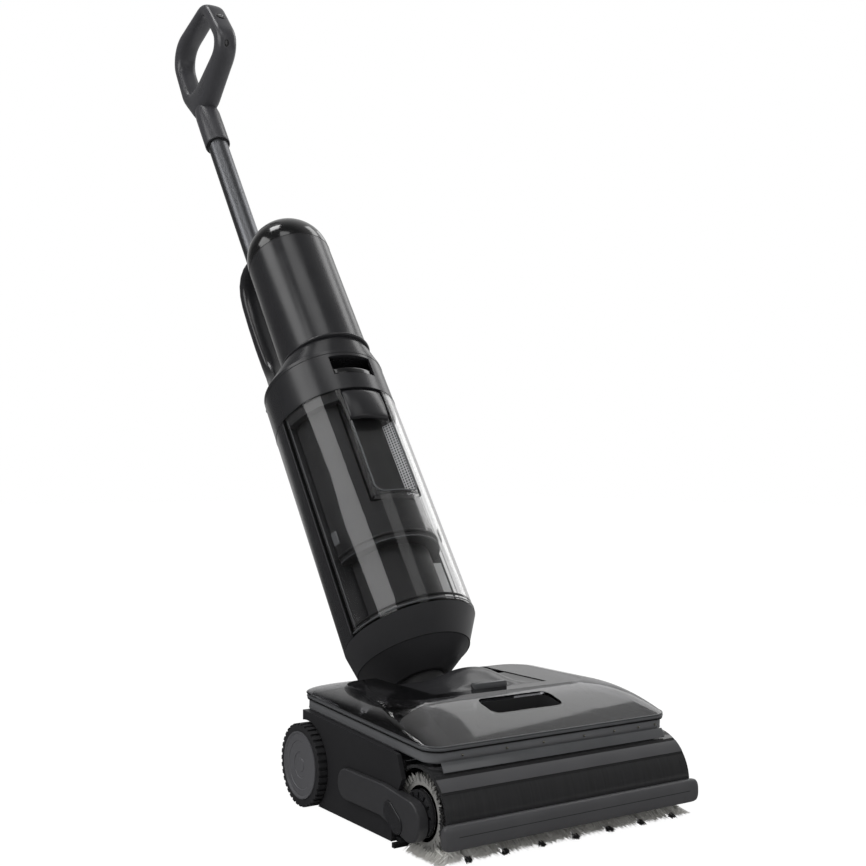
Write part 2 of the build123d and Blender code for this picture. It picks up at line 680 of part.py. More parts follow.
# Side arms: hollow covers that carry the roller's shaft, each with a release button
for side, name in ((-1, "left"), (1, "right")):
    with BuildPart() as side_arm:
        with BuildSketch(Plane.YZ.offset(side * HEAD_INNER)):
            arm_outline(0)
        extrude(amount=side * (ARM_OUT - HEAD_INNER))
        rim_face = side_arm.faces().sort_by(Axis.X)[0 if side < 0 else -1]
        fillet(rim_face.edges(), ARM_ROUND)
        with BuildSketch(Plane.YZ.offset(side * HEAD_INNER)):
            arm_outline(ARM_WALL)
        extrude(amount=side * (ARM_INNER - HEAD_INNER), mode=Mode.SUBTRACT)
        with BuildSketch(Plane.YZ.offset(side * ARM_INNER)):
            with Locations((ROLLER_Y, ROLLER_Z)):
                Circle(STUB_R + SHAFT_GAP)
        extrude(amount=side * STUB_POCKET, mode=Mode.SUBTRACT)
        with BuildSketch(Plane.YZ.offset(side * ARM_OUT)):
            with Locations(Location((PILL_Y, PILL_Z), PILL_TILT)):
                SlotOverall(2 * (PILL_HALF + PILL_GAP), 2 * (PILL_R + PILL_GAP))
        extrude(amount=-side * PILL_DEPTH, mode=Mode.SUBTRACT)
    save(side_arm, f"side_arm_{name}")

    with BuildPart() as release_button:
        with BuildSketch(Plane.YZ.offset(side * (ARM_OUT - PILL_DEPTH + PILL_TRAVEL + SEAT_GAP))):
            with Locations(Location((PILL_Y, PILL_Z), PILL_TILT)):
                SlotOverall(2 * PILL_HALF, 2 * PILL_R)
        extrude(amount=side * (PILL_DEPTH + PILL_RISE - PILL_TRAVEL - SEAT_GAP))
        fillet(release_button.faces().sort_by(Axis.X)[0 if side < 0 else -1].edges(), PILL_ROUND)
    save(release_button, f"release_button_{name}")

# Dark pod over the brush motor, seen through the clear cover
POD_LOW_Z = BELLY_Z + FLOOR_WALL + SEAT_GAP


def pod_outline(inset):
    """Draw the pod's side profile, pulled in by the inset."""
    Polygon(
        (POD_FRONT_Y + inset, POD_LOW_Z),
        (POD_REAR_Y - inset, POD_LOW_Z),
        (POD_REAR_Y - inset, POD_TOP_Z - inset),
        ((POD_FRONT_Y + POD_REAR_Y) / 2, POD_TOP_Z - inset),
        (POD_FRONT_Y + inset, POD_NOSE_Z - inset),
        align=None,
    )


with BuildPart() as motor_pod:
    with BuildSketch(Plane.YZ.offset(-POD_OUT_X)):
        pod_outline(0)
    extrude(amount=POD_WIDTH)
    fillet(motor_pod.edges().filter_by(Axis.X).group_by(Axis.Z)[1:], POD_ROUND)
    with BuildSketch(Plane.YZ.offset(-POD_OUT_X + POD_WALL)):
        pod_outline(POD_WALL)
    extrude(amount=POD_WIDTH - 2 * POD_WALL, mode=Mode.SUBTRACT)
    with BuildSketch(Plane.YZ.offset(-POD_OUT_X)):
        with Locations((ARM_REAR_Y, ARM_Z)):
            Circle(MOTOR_SHAFT_R + RUN_GAP)
    extrude(amount=POD_WALL, mode=Mode.SUBTRACT)
save(motor_pod, "motor_pod")

# Squeegee strip and its holder, behind the roller
with BuildPart() as squeegee_holder:
    with BuildSketch(Plane.XY.offset(SQUEEGEE_HEIGHT)):
        with Locations((0, FRONT_WALL_Y - SEAT_GAP)):
            Rectangle(
                2 * (HEAD_INNER - SEAT_GAP),
                FRONT_WALL_Y + SQUEEGEE_THICK / 2 + RUN_GAP - SEAT_GAP,
                align=(Align.CENTER, Align.MAX),
            )
    extrude(amount=HOLDER_HEIGHT)
save(squeegee_holder, "squeegee_holder")

with BuildPart() as squeegee:
    with BuildSketch(Plane.XY):
        Rectangle(2 * SQUEEGEE_HALF, SQUEEGEE_THICK)
    extrude(amount=SQUEEGEE_HEIGHT)
save(squeegee, "squeegee")

# Suction channel along the head's floor, from the roller's bay to the column
with BuildPart() as suction_channel:
    channel_low = BELLY_Z + FLOOR_WALL + SEAT_GAP
    with BuildSketch(Plane.XZ.offset(-(FRONT_BAY_Y + SEAT_GAP))):
        with Locations((0, channel_low)):
            Rectangle(2 * CHANNEL_HALF, CHANNEL_HEIGHT, align=(Align.CENTER, Align.MIN))
        with Locations((0, channel_low + CHANNEL_WALL)):
            Rectangle(
                2 * (CHANNEL_HALF - CHANNEL_WALL),
                CHANNEL_HEIGHT - 2 * CHANNEL_WALL,
                align=(Align.CENTER, Align.MIN),
                mode=Mode.SUBTRACT,
            )
    extrude(amount=-(NOTCH_FRONT_Y - FRONT_BAY_Y - 2 * SEAT_GAP))
save(suction_channel, "suction_channel")

# Rear wheels: stub axles, discs and treaded tyres
for side, name in ((-1, "left"), (1, "right")):
    inner_x = WHEEL_OUT_X - WHEEL_WIDTH
    with BuildPart() as axle:
        with BuildSketch(Plane.YZ.offset(side * (WELL_X - 2 * SIDE_WALL))):
            with Locations((WHEEL_Y, WHEEL_R)):
                Circle(AXLE_R)
        extrude(amount=side * (WHEEL_OUT_X - AXLE_SHORT - WELL_X + 2 * SIDE_WALL))
    save(axle, f"axle_{name}")

    with BuildPart() as wheel:
        with BuildSketch(Plane.YZ.offset(side * inner_x)):
            with Locations((WHEEL_Y, WHEEL_R)):
                Circle(WHEEL_DISC_R - SHAFT_GAP)
        extrude(amount=side * WHEEL_WIDTH)
        fillet(wheel.faces().sort_by(Axis.X)[0 if side < 0 else -1].edges(), WHEEL_FACE)
        with BuildSketch(Plane.YZ.offset(side * inner_x)):
            with Locations((WHEEL_Y, WHEEL_R)):
                Circle(AXLE_R + SHAFT_GAP)
        extrude(amount=side * (WHEEL_WIDTH - WHEEL_FACE), mode=Mode.SUBTRACT)
    save(wheel, f"wheel_{name}")

    with BuildPart() as tyre:
        with BuildSketch(Plane.YZ.offset(side * inner_x)):
            with Locations((WHEEL_Y, WHEEL_R)):
                Circle(WHEEL_R)
                Circle(WHEEL_DISC_R, mode=Mode.SUBTRACT)
        extrude(amount=side * (WHEEL_WIDTH - TYRE_STEP))
        with BuildSketch(Plane.YZ.offset(side * (WHEEL_OUT_X - TYRE_STEP))):
            with Locations((WHEEL_Y, WHEEL_R)):
                with PolarLocations(WHEEL_R, TREAD_LUGS, start_angle=90 + 180 / TREAD_LUGS):
                    Rectangle(2 * TREAD_DEPTH, TREAD_CUT)
        extrude(amount=-side * WHEEL_WIDTH / 2, mode=Mode.SUBTRACT)
    save(tyre, f"tyre_{name}")

# Hinge bracket with two ears on the notch's floor, and the pin that carries the column
with BuildPart() as hinge_bracket:
    plate_z = NOTCH_FLOOR_Z + SEAT_GAP
    with BuildSketch(Plane.XY.offset(plate_z)):
        with Locations((0, PIVOT_Y - EAR_R)):
            Rectangle(2 * (EAR_IN + EAR_WALL + BRACKET_OVER), HEAD_REAR_Y - PIVOT_Y + EAR_R, align=(Align.CENTER, Align.MIN))
    extrude(amount=BRACKET_PLATE)
    for side in (-1, 1):
        with BuildSketch(Plane.YZ.offset(side * EAR_IN)):
            with Locations((PIVOT_Y, PIVOT_Z)):
                Circle(EAR_R)
            with Locations((PIVOT_Y - EAR_R, plate_z)):
                Rectangle(HEAD_REAR_Y - PIVOT_Y + EAR_R, PIVOT_Z - plate_z, align=(Align.MIN, Align.MIN))
        extrude(amount=side * EAR_WALL)
    with BuildSketch(Plane.YZ.offset(-NOTCH_HALF)):
        with Locations((PIVOT_Y, PIVOT_Z)):
            Circle(PIN_R + SHAFT_GAP)
    extrude(amount=2 * NOTCH_HALF, mode=Mode.SUBTRACT)
save(hinge_bracket, "hinge_bracket")

with BuildPart() as hinge_pin:
    pin_half = EAR_IN + EAR_WALL + PIN_OVER
    with BuildSketch(Plane.YZ.offset(-pin_half)):
        with Locations((PIVOT_Y, PIVOT_Z)):
            Circle(PIN_R)
    extrude(amount=2 * pin_half)
save(hinge_pin, "hinge_pin")

# Yoke: tilts on the pin and carries the column on a spigot, so that the column can steer
with BuildPart() as tilt_yoke:
    with BuildSketch(Plane.YZ.offset(-(EAR_IN - RUN_GAP))):
        with Locations((PIVOT_Y, PIVOT_Z)):
            Circle(YOKE_HUB_R)
    extrude(amount=2 * (EAR_IN - RUN_GAP))
    with BuildSketch(COLUMN.offset(PIN_R)):
        Circle(NECK_R)
    extrude(amount=CUP_LOW - PIN_R - SEAT_GAP)
    with BuildSketch(COLUMN.offset(PIN_R)):
        Circle(SPIGOT_R)
    extrude(amount=SPIGOT_TOP - PIN_R)
    with BuildSketch(Plane.YZ.offset(-NOTCH_HALF)):
        with Locations((PIVOT_Y, PIVOT_Z)):
            Circle(PIN_R + SHAFT_GAP)
    extrude(amount=2 * NOTCH_HALF, mode=Mode.SUBTRACT)
save(tilt_yoke, "tilt_yoke")

# Fairing in front of the column, with the cover's release button in its ramp
FAIRING_NOSE_Z = CROWN_Z - FAIRING_NOSE_DROP
FAIRING_TAIL_Z = CROWN_Z - FAIRING_TAIL_DROP
FAIRING_LOW_Z = RIM_FRONT_Z + (NOTCH_Y - RIM_FRONT_Y) * RIM_SIN / RIM_COS - DECK_DROP / RIM_COS + SEAT_GAP
RAMP_SLOPE = (FAIRING_TOP_Z - FAIRING_NOSE_Z) / (FAIRING_RAMP_Y - FAIRING_FRONT_Y)
with BuildPart() as neck_fairing:
    with BuildSketch(Plane.YZ.offset(-(NOTCH_HALF - SEAT_GAP))):
        Polygon(
            (FAIRING_FRONT_Y, FAIRING_LOW_Z),
            (NOTCH_Y - FAIRING_REAR_GAP, FAIRING_LOW_Z),
            (NOTCH_Y - FAIRING_REAR_GAP, FAIRING_TAIL_Z),
            (FAIRING_BACK_Y, FAIRING_TOP_Z),
            (FAIRING_RAMP_Y, FAIRING_TOP_Z),
            (FAIRING_FRONT_Y, FAIRING_NOSE_Z),
            align=None,
        )
    extrude(amount=2 * (NOTCH_HALF - SEAT_GAP))
    with BuildSketch(Plane.XZ.offset(-FAIRING_FRONT_Y)) as fairing_section:
        with Locations((0, FAIRING_LOW_Z)):
            Rectangle(2 * (NOTCH_HALF - SEAT_GAP), FAIRING_TOP_Z - FAIRING_LOW_Z, align=(Align.CENTER, Align.MIN))
        fillet(fairing_section.vertices().group_by(Axis.Z)[-1], FAIRING_ROUND)
    extrude(amount=-(NOTCH_Y - FAIRING_FRONT_Y), mode=Mode.INTERSECT)
    with BuildSketch(Plane.XY.offset(FAIRING_NOSE_Z - PRESS_DEPTH)):
        with Locations((0, PRESS_FRONT_Y - BUTTON_GAP)):
            Rectangle(2 * (PRESS_HALF + BUTTON_GAP), PRESS_LENGTH + 2 * BUTTON_GAP, align=(Align.CENTER, Align.MIN))
    extrude(amount=FAIRING_TOP_Z, mode=Mode.SUBTRACT)
    with BuildSketch(Plane.XY.offset(FAIRING_LOW_Z)):
        with Locations((0, FAIRING_FRONT_Y + FAIRING_WALL)):
            Rectangle(
                2 * (NOTCH_HALF - SEAT_GAP - FAIRING_WALL),
                NOTCH_FRONT_Y - FAIRING_FRONT_Y - FAIRING_WALL,
                align=(Align.CENTER, Align.MIN),
            )
    extrude(amount=FAIRING_NOSE_Z - PRESS_DEPTH - FAIRING_WALL - FAIRING_LOW_Z, mode=Mode.SUBTRACT)
save(neck_fairing, "neck_fairing")

with BuildPart() as cover_release:
    press_low = FAIRING_NOSE_Z - PRESS_DEPTH + PRESS_RISE + RUN_GAP
    press_nose = FAIRING_NOSE_Z + (PRESS_FRONT_Y - FAIRING_FRONT_Y) * RAMP_SLOPE + PRESS_RISE
    with BuildSketch(Plane.YZ.offset(-PRESS_HALF)):
        Polygon(
            (PRESS_FRONT_Y, press_low),
            (PRESS_FRONT_Y + PRESS_LENGTH, press_low),
            (PRESS_FRONT_Y + PRESS_LENGTH, press_nose + PRESS_LENGTH * RAMP_SLOPE),
            (PRESS_FRONT_Y, press_nose),
            align=None,
        )
    extrude(amount=2 * PRESS_HALF)
    fillet(cover_release.edges().group_by(Axis.Z)[-1], PRESS_ROUND)
save(cover_release, "cover_release")

# Cup at the foot of the column: turns on the yoke's spigot and carries the tank and the back housing
with BuildPart() as base_cup:
    with BuildSketch(COLUMN.offset(CUP_LOW)):
        Circle(CUP_LOW_R)
    with BuildSketch(COLUMN.offset(CUP_EDGE)):
        with Locations((0, CUP_EDGE_BACK)):
            Circle(CUP_EDGE_R)
    loft()
    with BuildSketch(COLUMN.offset(CUP_EDGE)):
        with Locations((0, CUP_EDGE_BACK)):
            Circle(CUP_EDGE_R)
    with BuildSketch(COLUMN.offset(TANK_LOW)):
        with Locations((0, BODY_BACK)):
            Circle(BODY_R)
    loft()
    with BuildSketch(COLUMN.offset(SPIGOT_TOP + SEAT_GAP + BODY_WALL)):
        with Locations((0, CUP_CAVITY_BACK)):
            Circle(CUP_CAVITY_R)
    extrude(amount=TANK_LOW, mode=Mode.SUBTRACT)
    with BuildSketch(COLUMN.offset(CUP_LOW)):
        Circle(SPIGOT_R + SHAFT_GAP)
    extrude(amount=SPIGOT_TOP + SEAT_GAP - CUP_LOW, mode=Mode.SUBTRACT)
save(base_cup, "base_cup")

# Back housing of the lower column, with the battery, pump and control board inside
HOUSING_FLOOR = TANK_LOW + SEAT_GAP + BODY_WALL
HOUSING_TOP = TANK_HIGH - SEAT_GAP
HOUSING_FRONT = SEAM_BACK + BODY_WALL
with BuildPart() as back_housing:
    with BuildSketch(COLUMN.offset(TANK_LOW + SEAT_GAP)):
        body_half(BODY_R, SEAM_BACK, BODY_BACK + BODY_R)
    extrude(amount=HOUSING_TOP - TANK_LOW - SEAT_GAP)
    with BuildSketch(COLUMN.offset(HOUSING_FLOOR)):
        body_half(BODY_R - BODY_WALL, HOUSING_FRONT, BODY_BACK + BODY_R)
    extrude(amount=TANK_HIGH, mode=Mode.SUBTRACT)
save(back_housing, "back_housing")

with BuildPart() as water_pump:
    with BuildSketch(COLUMN.offset(HOUSING_FLOOR + SEAT_GAP)):
        with Locations((0, HOUSING_FRONT + SEAT_GAP + PUMP_R)):
            Circle(PUMP_R)
    extrude(amount=PUMP_HEIGHT)
    with BuildSketch(COLUMN.offset(HOUSING_FLOOR + SEAT_GAP + PUMP_HEIGHT)):
        with Locations((0, HOUSING_FRONT + SEAT_GAP + PUMP_R)):
            with GridLocations(PUMP_R, 1, 2, 1):
                Circle(PUMP_PORT_R)
    extrude(amount=PUMP_PORT_HEIGHT)
save(water_pump, "water_pump")

with BuildPart() as battery_pack:
    with BuildSketch(COLUMN.offset(BATTERY_LOW)):
        with Locations((0, HOUSING_FRONT + SEAT_GAP)):
            Rectangle(BATTERY_WIDTH, BATTERY_DEPTH, align=(Align.CENTER, Align.MIN))
    extrude(amount=BATTERY_HEIGHT)
    fillet(battery_pack.edges().filter_by(Axis((0, 0, 0), COLUMN.z_dir)), BATTERY_ROUND)
save(battery_pack, "battery_pack")

with BuildPart() as control_board:
    with BuildSketch(COLUMN.offset(BATTERY_LOW + BATTERY_HEIGHT + CONTROL_GAP)):
        with Locations((0, HOUSING_FRONT + SEAT_GAP)):
            Rectangle(CONTROL_WIDTH, BOARD_THICK, align=(Align.CENTER, Align.MIN))
    extrude(amount=CONTROL_HEIGHT)
save(control_board, "control_board")

# Dirty water tank: a clear front half with a finger grip, closed by its lid
TANK_FLOOR = TANK_LOW + TANK_GAP
TANK_TOP = TANK_HIGH - TANK_GAP
TANK_BACK = SEAM_BACK - TANK_GAP
GRIP_BACK = BODY_FRONT + GRIP_DEPTH


def grip_outline(extra):
    """Draw the finger grip's section, grown by the extra wall."""
    with Locations((0, GRIP_BACK + extra)):
        Rectangle(2 * (GRIP_HALF + extra), BODY_R, align=(Align.CENTER, Align.MAX))


with BuildPart() as dirty_tank:
    with BuildSketch(COLUMN.offset(TANK_FLOOR)):
        body_half(BODY_R, BODY_FRONT, TANK_BACK)
    extrude(amount=TANK_TOP - TANK_FLOOR)
    with BuildSketch(COLUMN.offset(TANK_FLOOR + TANK_WALL)):
        body_half(BODY_R - TANK_WALL, BODY_FRONT, TANK_BACK - TANK_WALL)
    extrude(amount=TANK_HIGH, mode=Mode.SUBTRACT)
    with BuildSketch(COLUMN.offset(GRIP_LOW - TANK_WALL)):
        grip_outline(TANK_WALL)
        with Locations((0, BODY_BACK)):
            Circle(BODY_R, mode=Mode.INTERSECT)
    extrude(amount=TANK_TOP - GRIP_LOW + TANK_WALL)
    with BuildSketch(COLUMN.offset(GRIP_LOW)):
        grip_outline(0)
    extrude(amount=TANK_HIGH, mode=Mode.SUBTRACT)
save(dirty_tank, "dirty_tank")

LID_LOW = TANK_TOP - LID_HEIGHT
with BuildPart() as tank_lid:
    with BuildSketch(COLUMN.offset(LID_LOW)):
        body_half(BODY_R - TANK_WALL - SEAT_GAP, BODY_FRONT, TANK_BACK - TANK_WALL - SEAT_GAP)
        with Locations((0, GRIP_BACK + TANK_WALL + SEAT_GAP)):
            Rectangle(
                2 * (GRIP_HALF + TANK_WALL + SEAT_GAP),
                BODY_R,
                align=(Align.CENTER, Align.MAX),
                mode=Mode.SUBTRACT,
            )
    extrude(amount=LID_HEIGHT)
save(tank_lid, "tank_lid")

BASKET_BACK = TANK_BACK - TANK_WALL - RUN_GAP
BASKET_SHOULDER = GRIP_LOW - TANK_WALL - INNER_GAP
BASKET_TOP = LID_LOW - SEAT_GAP
BASKET_FRONT = GRIP_BACK + TANK_WALL + INNER_GAP
with BuildPart() as separator_basket:
    with BuildSketch(COLUMN.offset(BASKET_LOW)):
        body_half(BASKET_R, BODY_FRONT, BASKET_BACK)
    extrude(amount=BASKET_SHOULDER - BASKET_LOW)
    with BuildSketch(COLUMN.offset(BASKET_LOW)):
        body_half(BASKET_R, BASKET_FRONT, BASKET_BACK)
    extrude(amount=BASKET_TOP - BASKET_LOW)
    with BuildSketch(COLUMN.offset(BASKET_LOW + BASKET_WALL)):
        body_half(BASKET_R - BASKET_WALL, BODY_FRONT, BASKET_BACK - BASKET_WALL)
    extrude(amount=BASKET_SHOULDER - BASKET_LOW - 2 * BASKET_WALL, mode=Mode.SUBTRACT)
    with BuildSketch(COLUMN.offset(BASKET_LOW + BASKET_WALL)):
        body_half(BASKET_R - BASKET_WALL, BASKET_FRONT + BASKET_WALL, BASKET_BACK - BASKET_WALL)
    extrude(amount=TANK_HIGH, mode=Mode.SUBTRACT)
save(separator_basket, "separator_basket")

with BuildPart() as intake_duct:
    with BuildSketch(COLUMN.offset(TANK_FLOOR + TANK_WALL + SEAT_GAP)):
        body_half(DUCT_R, BODY_FRONT, BASKET_BACK)
    extrude(amount=BASKET_LOW - TANK_FLOOR - TANK_WALL - 2 * SEAT_GAP)
    with BuildSketch(COLUMN.offset(TANK_FLOOR + TANK_WALL + SEAT_GAP)):
        body_half(DUCT_R - BASKET_WALL, BODY_FRONT, BASKET_BACK - BASKET_WALL)
    extrude(amount=TANK_HIGH, mode=Mode.SUBTRACT)
save(intake_duct, "intake_duct")

with BuildPart() as tank_latch:
    with BuildSketch(COLUMN.offset(LATCH_LOW)):
        with Locations((0, BODY_BACK)):
            Circle(BODY_R)
        with Locations((0, BODY_FRONT + LATCH_THICK)):
            Rectangle(
                2 * (GRIP_HALF - LATCH_GAP),
                BODY_R,
                align=(Align.CENTER, Align.MAX),
                mode=Mode.INTERSECT,
            )
    extrude(amount=TANK_TOP - LATCH_GAP - LATCH_LOW)
save(tank_latch, "tank_latch")

# Collar between the tank and the upper body, with a slot in its front
COLLAR_REAR = UPPER_BACK + UPPER_R
COLLAR_NECK_R = UPPER_R + UPPER_WALL
with BuildPart() as collar:
    with BuildSketch(COLUMN.offset(TANK_HIGH)):
        with Locations((0, BODY_BACK)):
            Circle(BODY_R)
    extrude(amount=COLLAR_SHOULDER - TANK_HIGH)
    with BuildSketch(COLUMN.offset(COLLAR_SHOULDER)):
        with Locations((0, BODY_BACK)):
            Circle(BODY_R)
    with BuildSketch(COLUMN.offset(COLLAR_TOP)):
        with Locations((0, BODY_FRONT + COLLAR_NECK_R)):
            Circle(COLLAR_NECK_R)
    loft()
    with BuildSketch(COLUMN.offset(TANK_HIGH + COLLAR_WALL)):
        with Locations((0, BODY_BACK)):
            Circle(BODY_R - COLLAR_WALL)
    extrude(amount=COLLAR_SHOULDER - TANK_HIGH - 2 * COLLAR_WALL, mode=Mode.SUBTRACT)
    with BuildSketch(COLUMN.offset(COLLAR_SHOULDER)):
        with Locations((0, COLLAR_REAR + SEAT_GAP)):
            Rectangle(4 * BODY_R, 2 * BODY_R, align=(Align.CENTER, Align.MIN))
    extrude(amount=COLLAR_TOP, mode=Mode.SUBTRACT)
    with BuildSketch(COLUMN.offset(SLOT_LOW)):
        with Locations((0, BODY_FRONT)):
            Rectangle(2 * SLOT_HALF, BODY_R)
    extrude(amount=SLOT_HIGH - SLOT_LOW, mode=Mode.SUBTRACT)
    with BuildSketch(COLUMN.offset(COLLAR_SHOULDER - COLLAR_WALL)):
        with Locations((0, UPPER_BACK)):
            Circle(FAN_MOTOR_R / 2)
    extrude(amount=COLLAR_TOP, mode=Mode.SUBTRACT)
save(collar, "collar")

# Upper body with the fan unit, its display board and the domed cap
UPPER_LOW = COLLAR_TOP + SEAT_GAP
with BuildPart() as upper_body:
    with BuildSketch(COLUMN.offset(UPPER_LOW)):
        with Locations((0, UPPER_BACK)):
            Circle(UPPER_R)
            Circle(UPPER_R - UPPER_WALL, mode=Mode.SUBTRACT)
    extrude(amount=UPPER_TOP - UPPER_LOW)
save(upper_body, "upper_body")

FAN_MOTOR_TOP = UPPER_LOW + FAN_MOTOR_LENGTH
with BuildPart() as suction_motor:
    with BuildSketch(COLUMN.offset(UPPER_LOW)):
        with Locations((0, UPPER_BACK)):
            Circle(FAN_MOTOR_R)
    extrude(amount=FAN_MOTOR_LENGTH)
    with BuildSketch(COLUMN.offset(FAN_MOTOR_TOP - FAN_MOTOR_LENGTH / 2)):
        with Locations((0, UPPER_BACK)):
            Circle(FAN_SHAFT_R + SHAFT_GAP)
    extrude(amount=FAN_MOTOR_LENGTH, mode=Mode.SUBTRACT)
save(suction_motor, "suction_motor")

with BuildPart() as impeller:
    with BuildSketch(COLUMN.offset(FAN_MOTOR_TOP + RUN_GAP)):
        with Locations((0, UPPER_BACK)):
            Circle(IMPELLER_R)
    extrude(amount=BACKPLATE)
    with BuildSketch(COLUMN.offset(FAN_MOTOR_TOP + RUN_GAP)):
        with Locations((0, UPPER_BACK)):
            Circle(3 * FAN_SHAFT_R)
            with PolarLocations(IMPELLER_R / 2, BLADES):
                Rectangle(IMPELLER_R - BLADE_SHORT, BLADE_WALL)
    extrude(amount=IMPELLER_HEIGHT)
    with BuildSketch(COLUMN.offset(FAN_MOTOR_TOP + RUN_GAP)):
        with Locations((0, UPPER_BACK)):
            Circle(FAN_SHAFT_R)
    extrude(amount=-(FAN_MOTOR_LENGTH / 2 - RUN_GAP))
save(impeller, "impeller")

with BuildPart() as display_board:
    with BuildSketch(COLUMN.offset(UPPER_TOP - BOARD_THICK)):
        with Locations((0, UPPER_BACK)):
            Circle(UPPER_R - UPPER_WALL - SEAT_GAP)
    extrude(amount=BOARD_THICK)
save(display_board, "display_board")

DOME_LOW = UPPER_TOP + SEAT_GAP
with BuildPart() as display_dome:
    with Locations(COLUMN.from_local_coords((0, UPPER_BACK, DOME_LOW + DOME_SKIRT))):
        Sphere(UPPER_R)
        Sphere(UPPER_R - UPPER_WALL, mode=Mode.SUBTRACT)
    split(bisect_by=COLUMN.offset(DOME_LOW + DOME_SKIRT), keep=Keep.TOP)
    with BuildSketch(COLUMN.offset(DOME_LOW)):
        with Locations((0, UPPER_BACK)):
            Circle(UPPER_R)
            Circle(UPPER_R - UPPER_WALL, mode=Mode.SUBTRACT)
    extrude(amount=DOME_SKIRT)
save(display_dome, "display_dome")

# Handle tube, and the carry handle whose foot and bridge hold it
with BuildPart() as handle_tube:
    with BuildSketch(COLUMN.offset(TUBE_LOW)):
        with Locations((0, TUBE_BACK)):
            Circle(TUBE_R)
            Circle(TUBE_R - TUBE_WALL, mode=Mode.SUBTRACT)
    extrude(amount=TUBE_HIGH - TUBE_LOW)
save(handle_tube, "handle_tube")

FOOT_FRONT = COLLAR_REAR + 2 * SEAT_GAP + RUN_GAP / 2
FOOT_LOW = COLLAR_SHOULDER + SEAT_GAP
with BuildPart() as carry_handle:
    with BuildSketch(COLUMN.offset(FOOT_LOW)):
        with Locations((0, (FOOT_FRONT + FOOT_REAR) / 2)):
            RectangleRounded(2 * FOOT_HALF, FOOT_REAR - FOOT_FRONT, CARRY_ROUND)
    with BuildSketch(COLUMN.offset(CARRY_LOW)):
        with Locations((0, (FOOT_FRONT + CARRY_LOW_BACK + CARRY_THICK) / 2)):
            RectangleRounded(2 * CARRY_HALF, CARRY_LOW_BACK + CARRY_THICK - FOOT_FRONT, CARRY_ROUND)
    loft()
    with BuildSketch(COLUMN.offset(CARRY_LOW)):
        with Locations((0, CARRY_LOW_BACK + CARRY_THICK / 2)):
            RectangleRounded(2 * CARRY_HALF, CARRY_THICK, CARRY_ROUND)
    with BuildSketch(COLUMN.offset(CARRY_HIGH)):
        with Locations((0, CARRY_HIGH_BACK + CARRY_THICK / 2)):
            RectangleRounded(2 * CARRY_HALF, CARRY_THICK, CARRY_ROUND)
    loft()
    with BuildSketch(COLUMN.offset(CARRY_HIGH)):
        with Locations((0, TUBE_BACK - TUBE_R - BRIDGE_WALL)):
            Rectangle(
                2 * CARRY_HALF,
                CARRY_HIGH_BACK + CARRY_THICK - TUBE_BACK + TUBE_R + BRIDGE_WALL,
                align=(Align.CENTER, Align.MIN),
            )
    extrude(amount=CARRY_BRIDGE)
    bridge_top = carry_handle.faces().sort_by(Axis((0, 0, 0), COLUMN.z_dir))[-1]
    fillet(bridge_top.edges(), BRIDGE_ROUND)
    with BuildSketch(COLUMN.offset(TUBE_LOW - SEAT_GAP)):
        with Locations((0, TUBE_BACK)):
            Circle(TUBE_R + SHAFT_GAP)
    extrude(amount=TUBE_HIGH - TUBE_LOW, mode=Mode.SUBTRACT)
save(carry_handle, "carry_handle")


def on_loop(start, end, share):
    """Return the plane on the loop's outer edge, a share of the way between two of its corners."""
    (back_a, rise_a), (back_b, rise_b) = LOOP_POINTS[start], LOOP_POINTS[end]
    place = SIDE.from_local_coords((back_a + share * (back_b - back_a), rise_a + share * (rise_b - rise_a), 0))
    outward = SIDE.from_local_coords((rise_a - rise_b, back_b - back_a, 0)) - SIDE.origin
    return Plane(origin=place, x_dir=(1, 0, 0), z_dir=outward)


# Loop handle: two shells that close round the tube, with two push buttons
POWER_PLANE = on_loop(4, 3, POWER_ALONG)
MODE_PLANE = on_loop(3, 2, MODE_ALONG)
with BuildPart() as loop_handle:
    with BuildSketch(SIDE) as loop_flat:
        Polygon(*LOOP_POINTS, align=None)
        by_rise = loop_flat.vertices().sort_by(Axis.Y)
        fillet(by_rise[:2], LOOP_NECK_CORNER)
        by_rise = loop_flat.vertices().sort_by(Axis.Y)
        fillet(by_rise[-4:], LOOP_CORNER)
        with BuildSketch(mode=Mode.SUBTRACT) as loop_opening:
            add(loop_flat.sketch_local)
            offset(amount=-LOOP_BAR, kind=Kind.ARC, mode=Mode.REPLACE)
            with Locations((0, TUBE_HIGH + LOOP_OPEN_RISE)):
                Rectangle(4 * BODY_R, 4 * BODY_R, align=(Align.CENTER, Align.MIN), mode=Mode.INTERSECT)
            low_corners = loop_opening.vertices().sort_by(Axis.Y)[:2]
            fillet(low_corners, LOOP_OPEN_ROUND)
    extrude(amount=LOOP_HALF, both=True)
    flats = loop_handle.faces().filter_by(Axis.X)
    fillet(flats.edges(), LOOP_ROUND)
    with BuildSketch(COLUMN.offset(SLEEVE_LOW)):
        with Locations((0, TUBE_BACK)):
            Circle(SLEEVE_R)
    extrude(amount=SLEEVE_HIGH - SLEEVE_LOW)
    with BuildSketch(COLUMN.offset(SLEEVE_LOW)):
        with Locations((0, TUBE_BACK)):
            Circle(TUBE_R + SHAFT_GAP)
    extrude(amount=TUBE_HIGH + SEAT_GAP - SLEEVE_LOW, mode=Mode.SUBTRACT)
    for pocket in (POWER_PLANE, MODE_PLANE):
        with BuildSketch(pocket):
            Circle(BUTTON_R + BUTTON_GAP)
        extrude(amount=-(BUTTON_DEPTH + BUTTON_TRAVEL + BUTTON_GAP), mode=Mode.SUBTRACT)

with BuildPart() as handle_left:
    add(loop_handle.part)
    split(bisect_by=Plane.YZ.offset(-SHAFT_GAP), keep=Keep.BOTTOM)
save(handle_left, "handle_left")

with BuildPart() as handle_right:
    add(loop_handle.part)
    split(bisect_by=Plane.YZ.offset(SHAFT_GAP), keep=Keep.TOP)
save(handle_right, "handle_right")

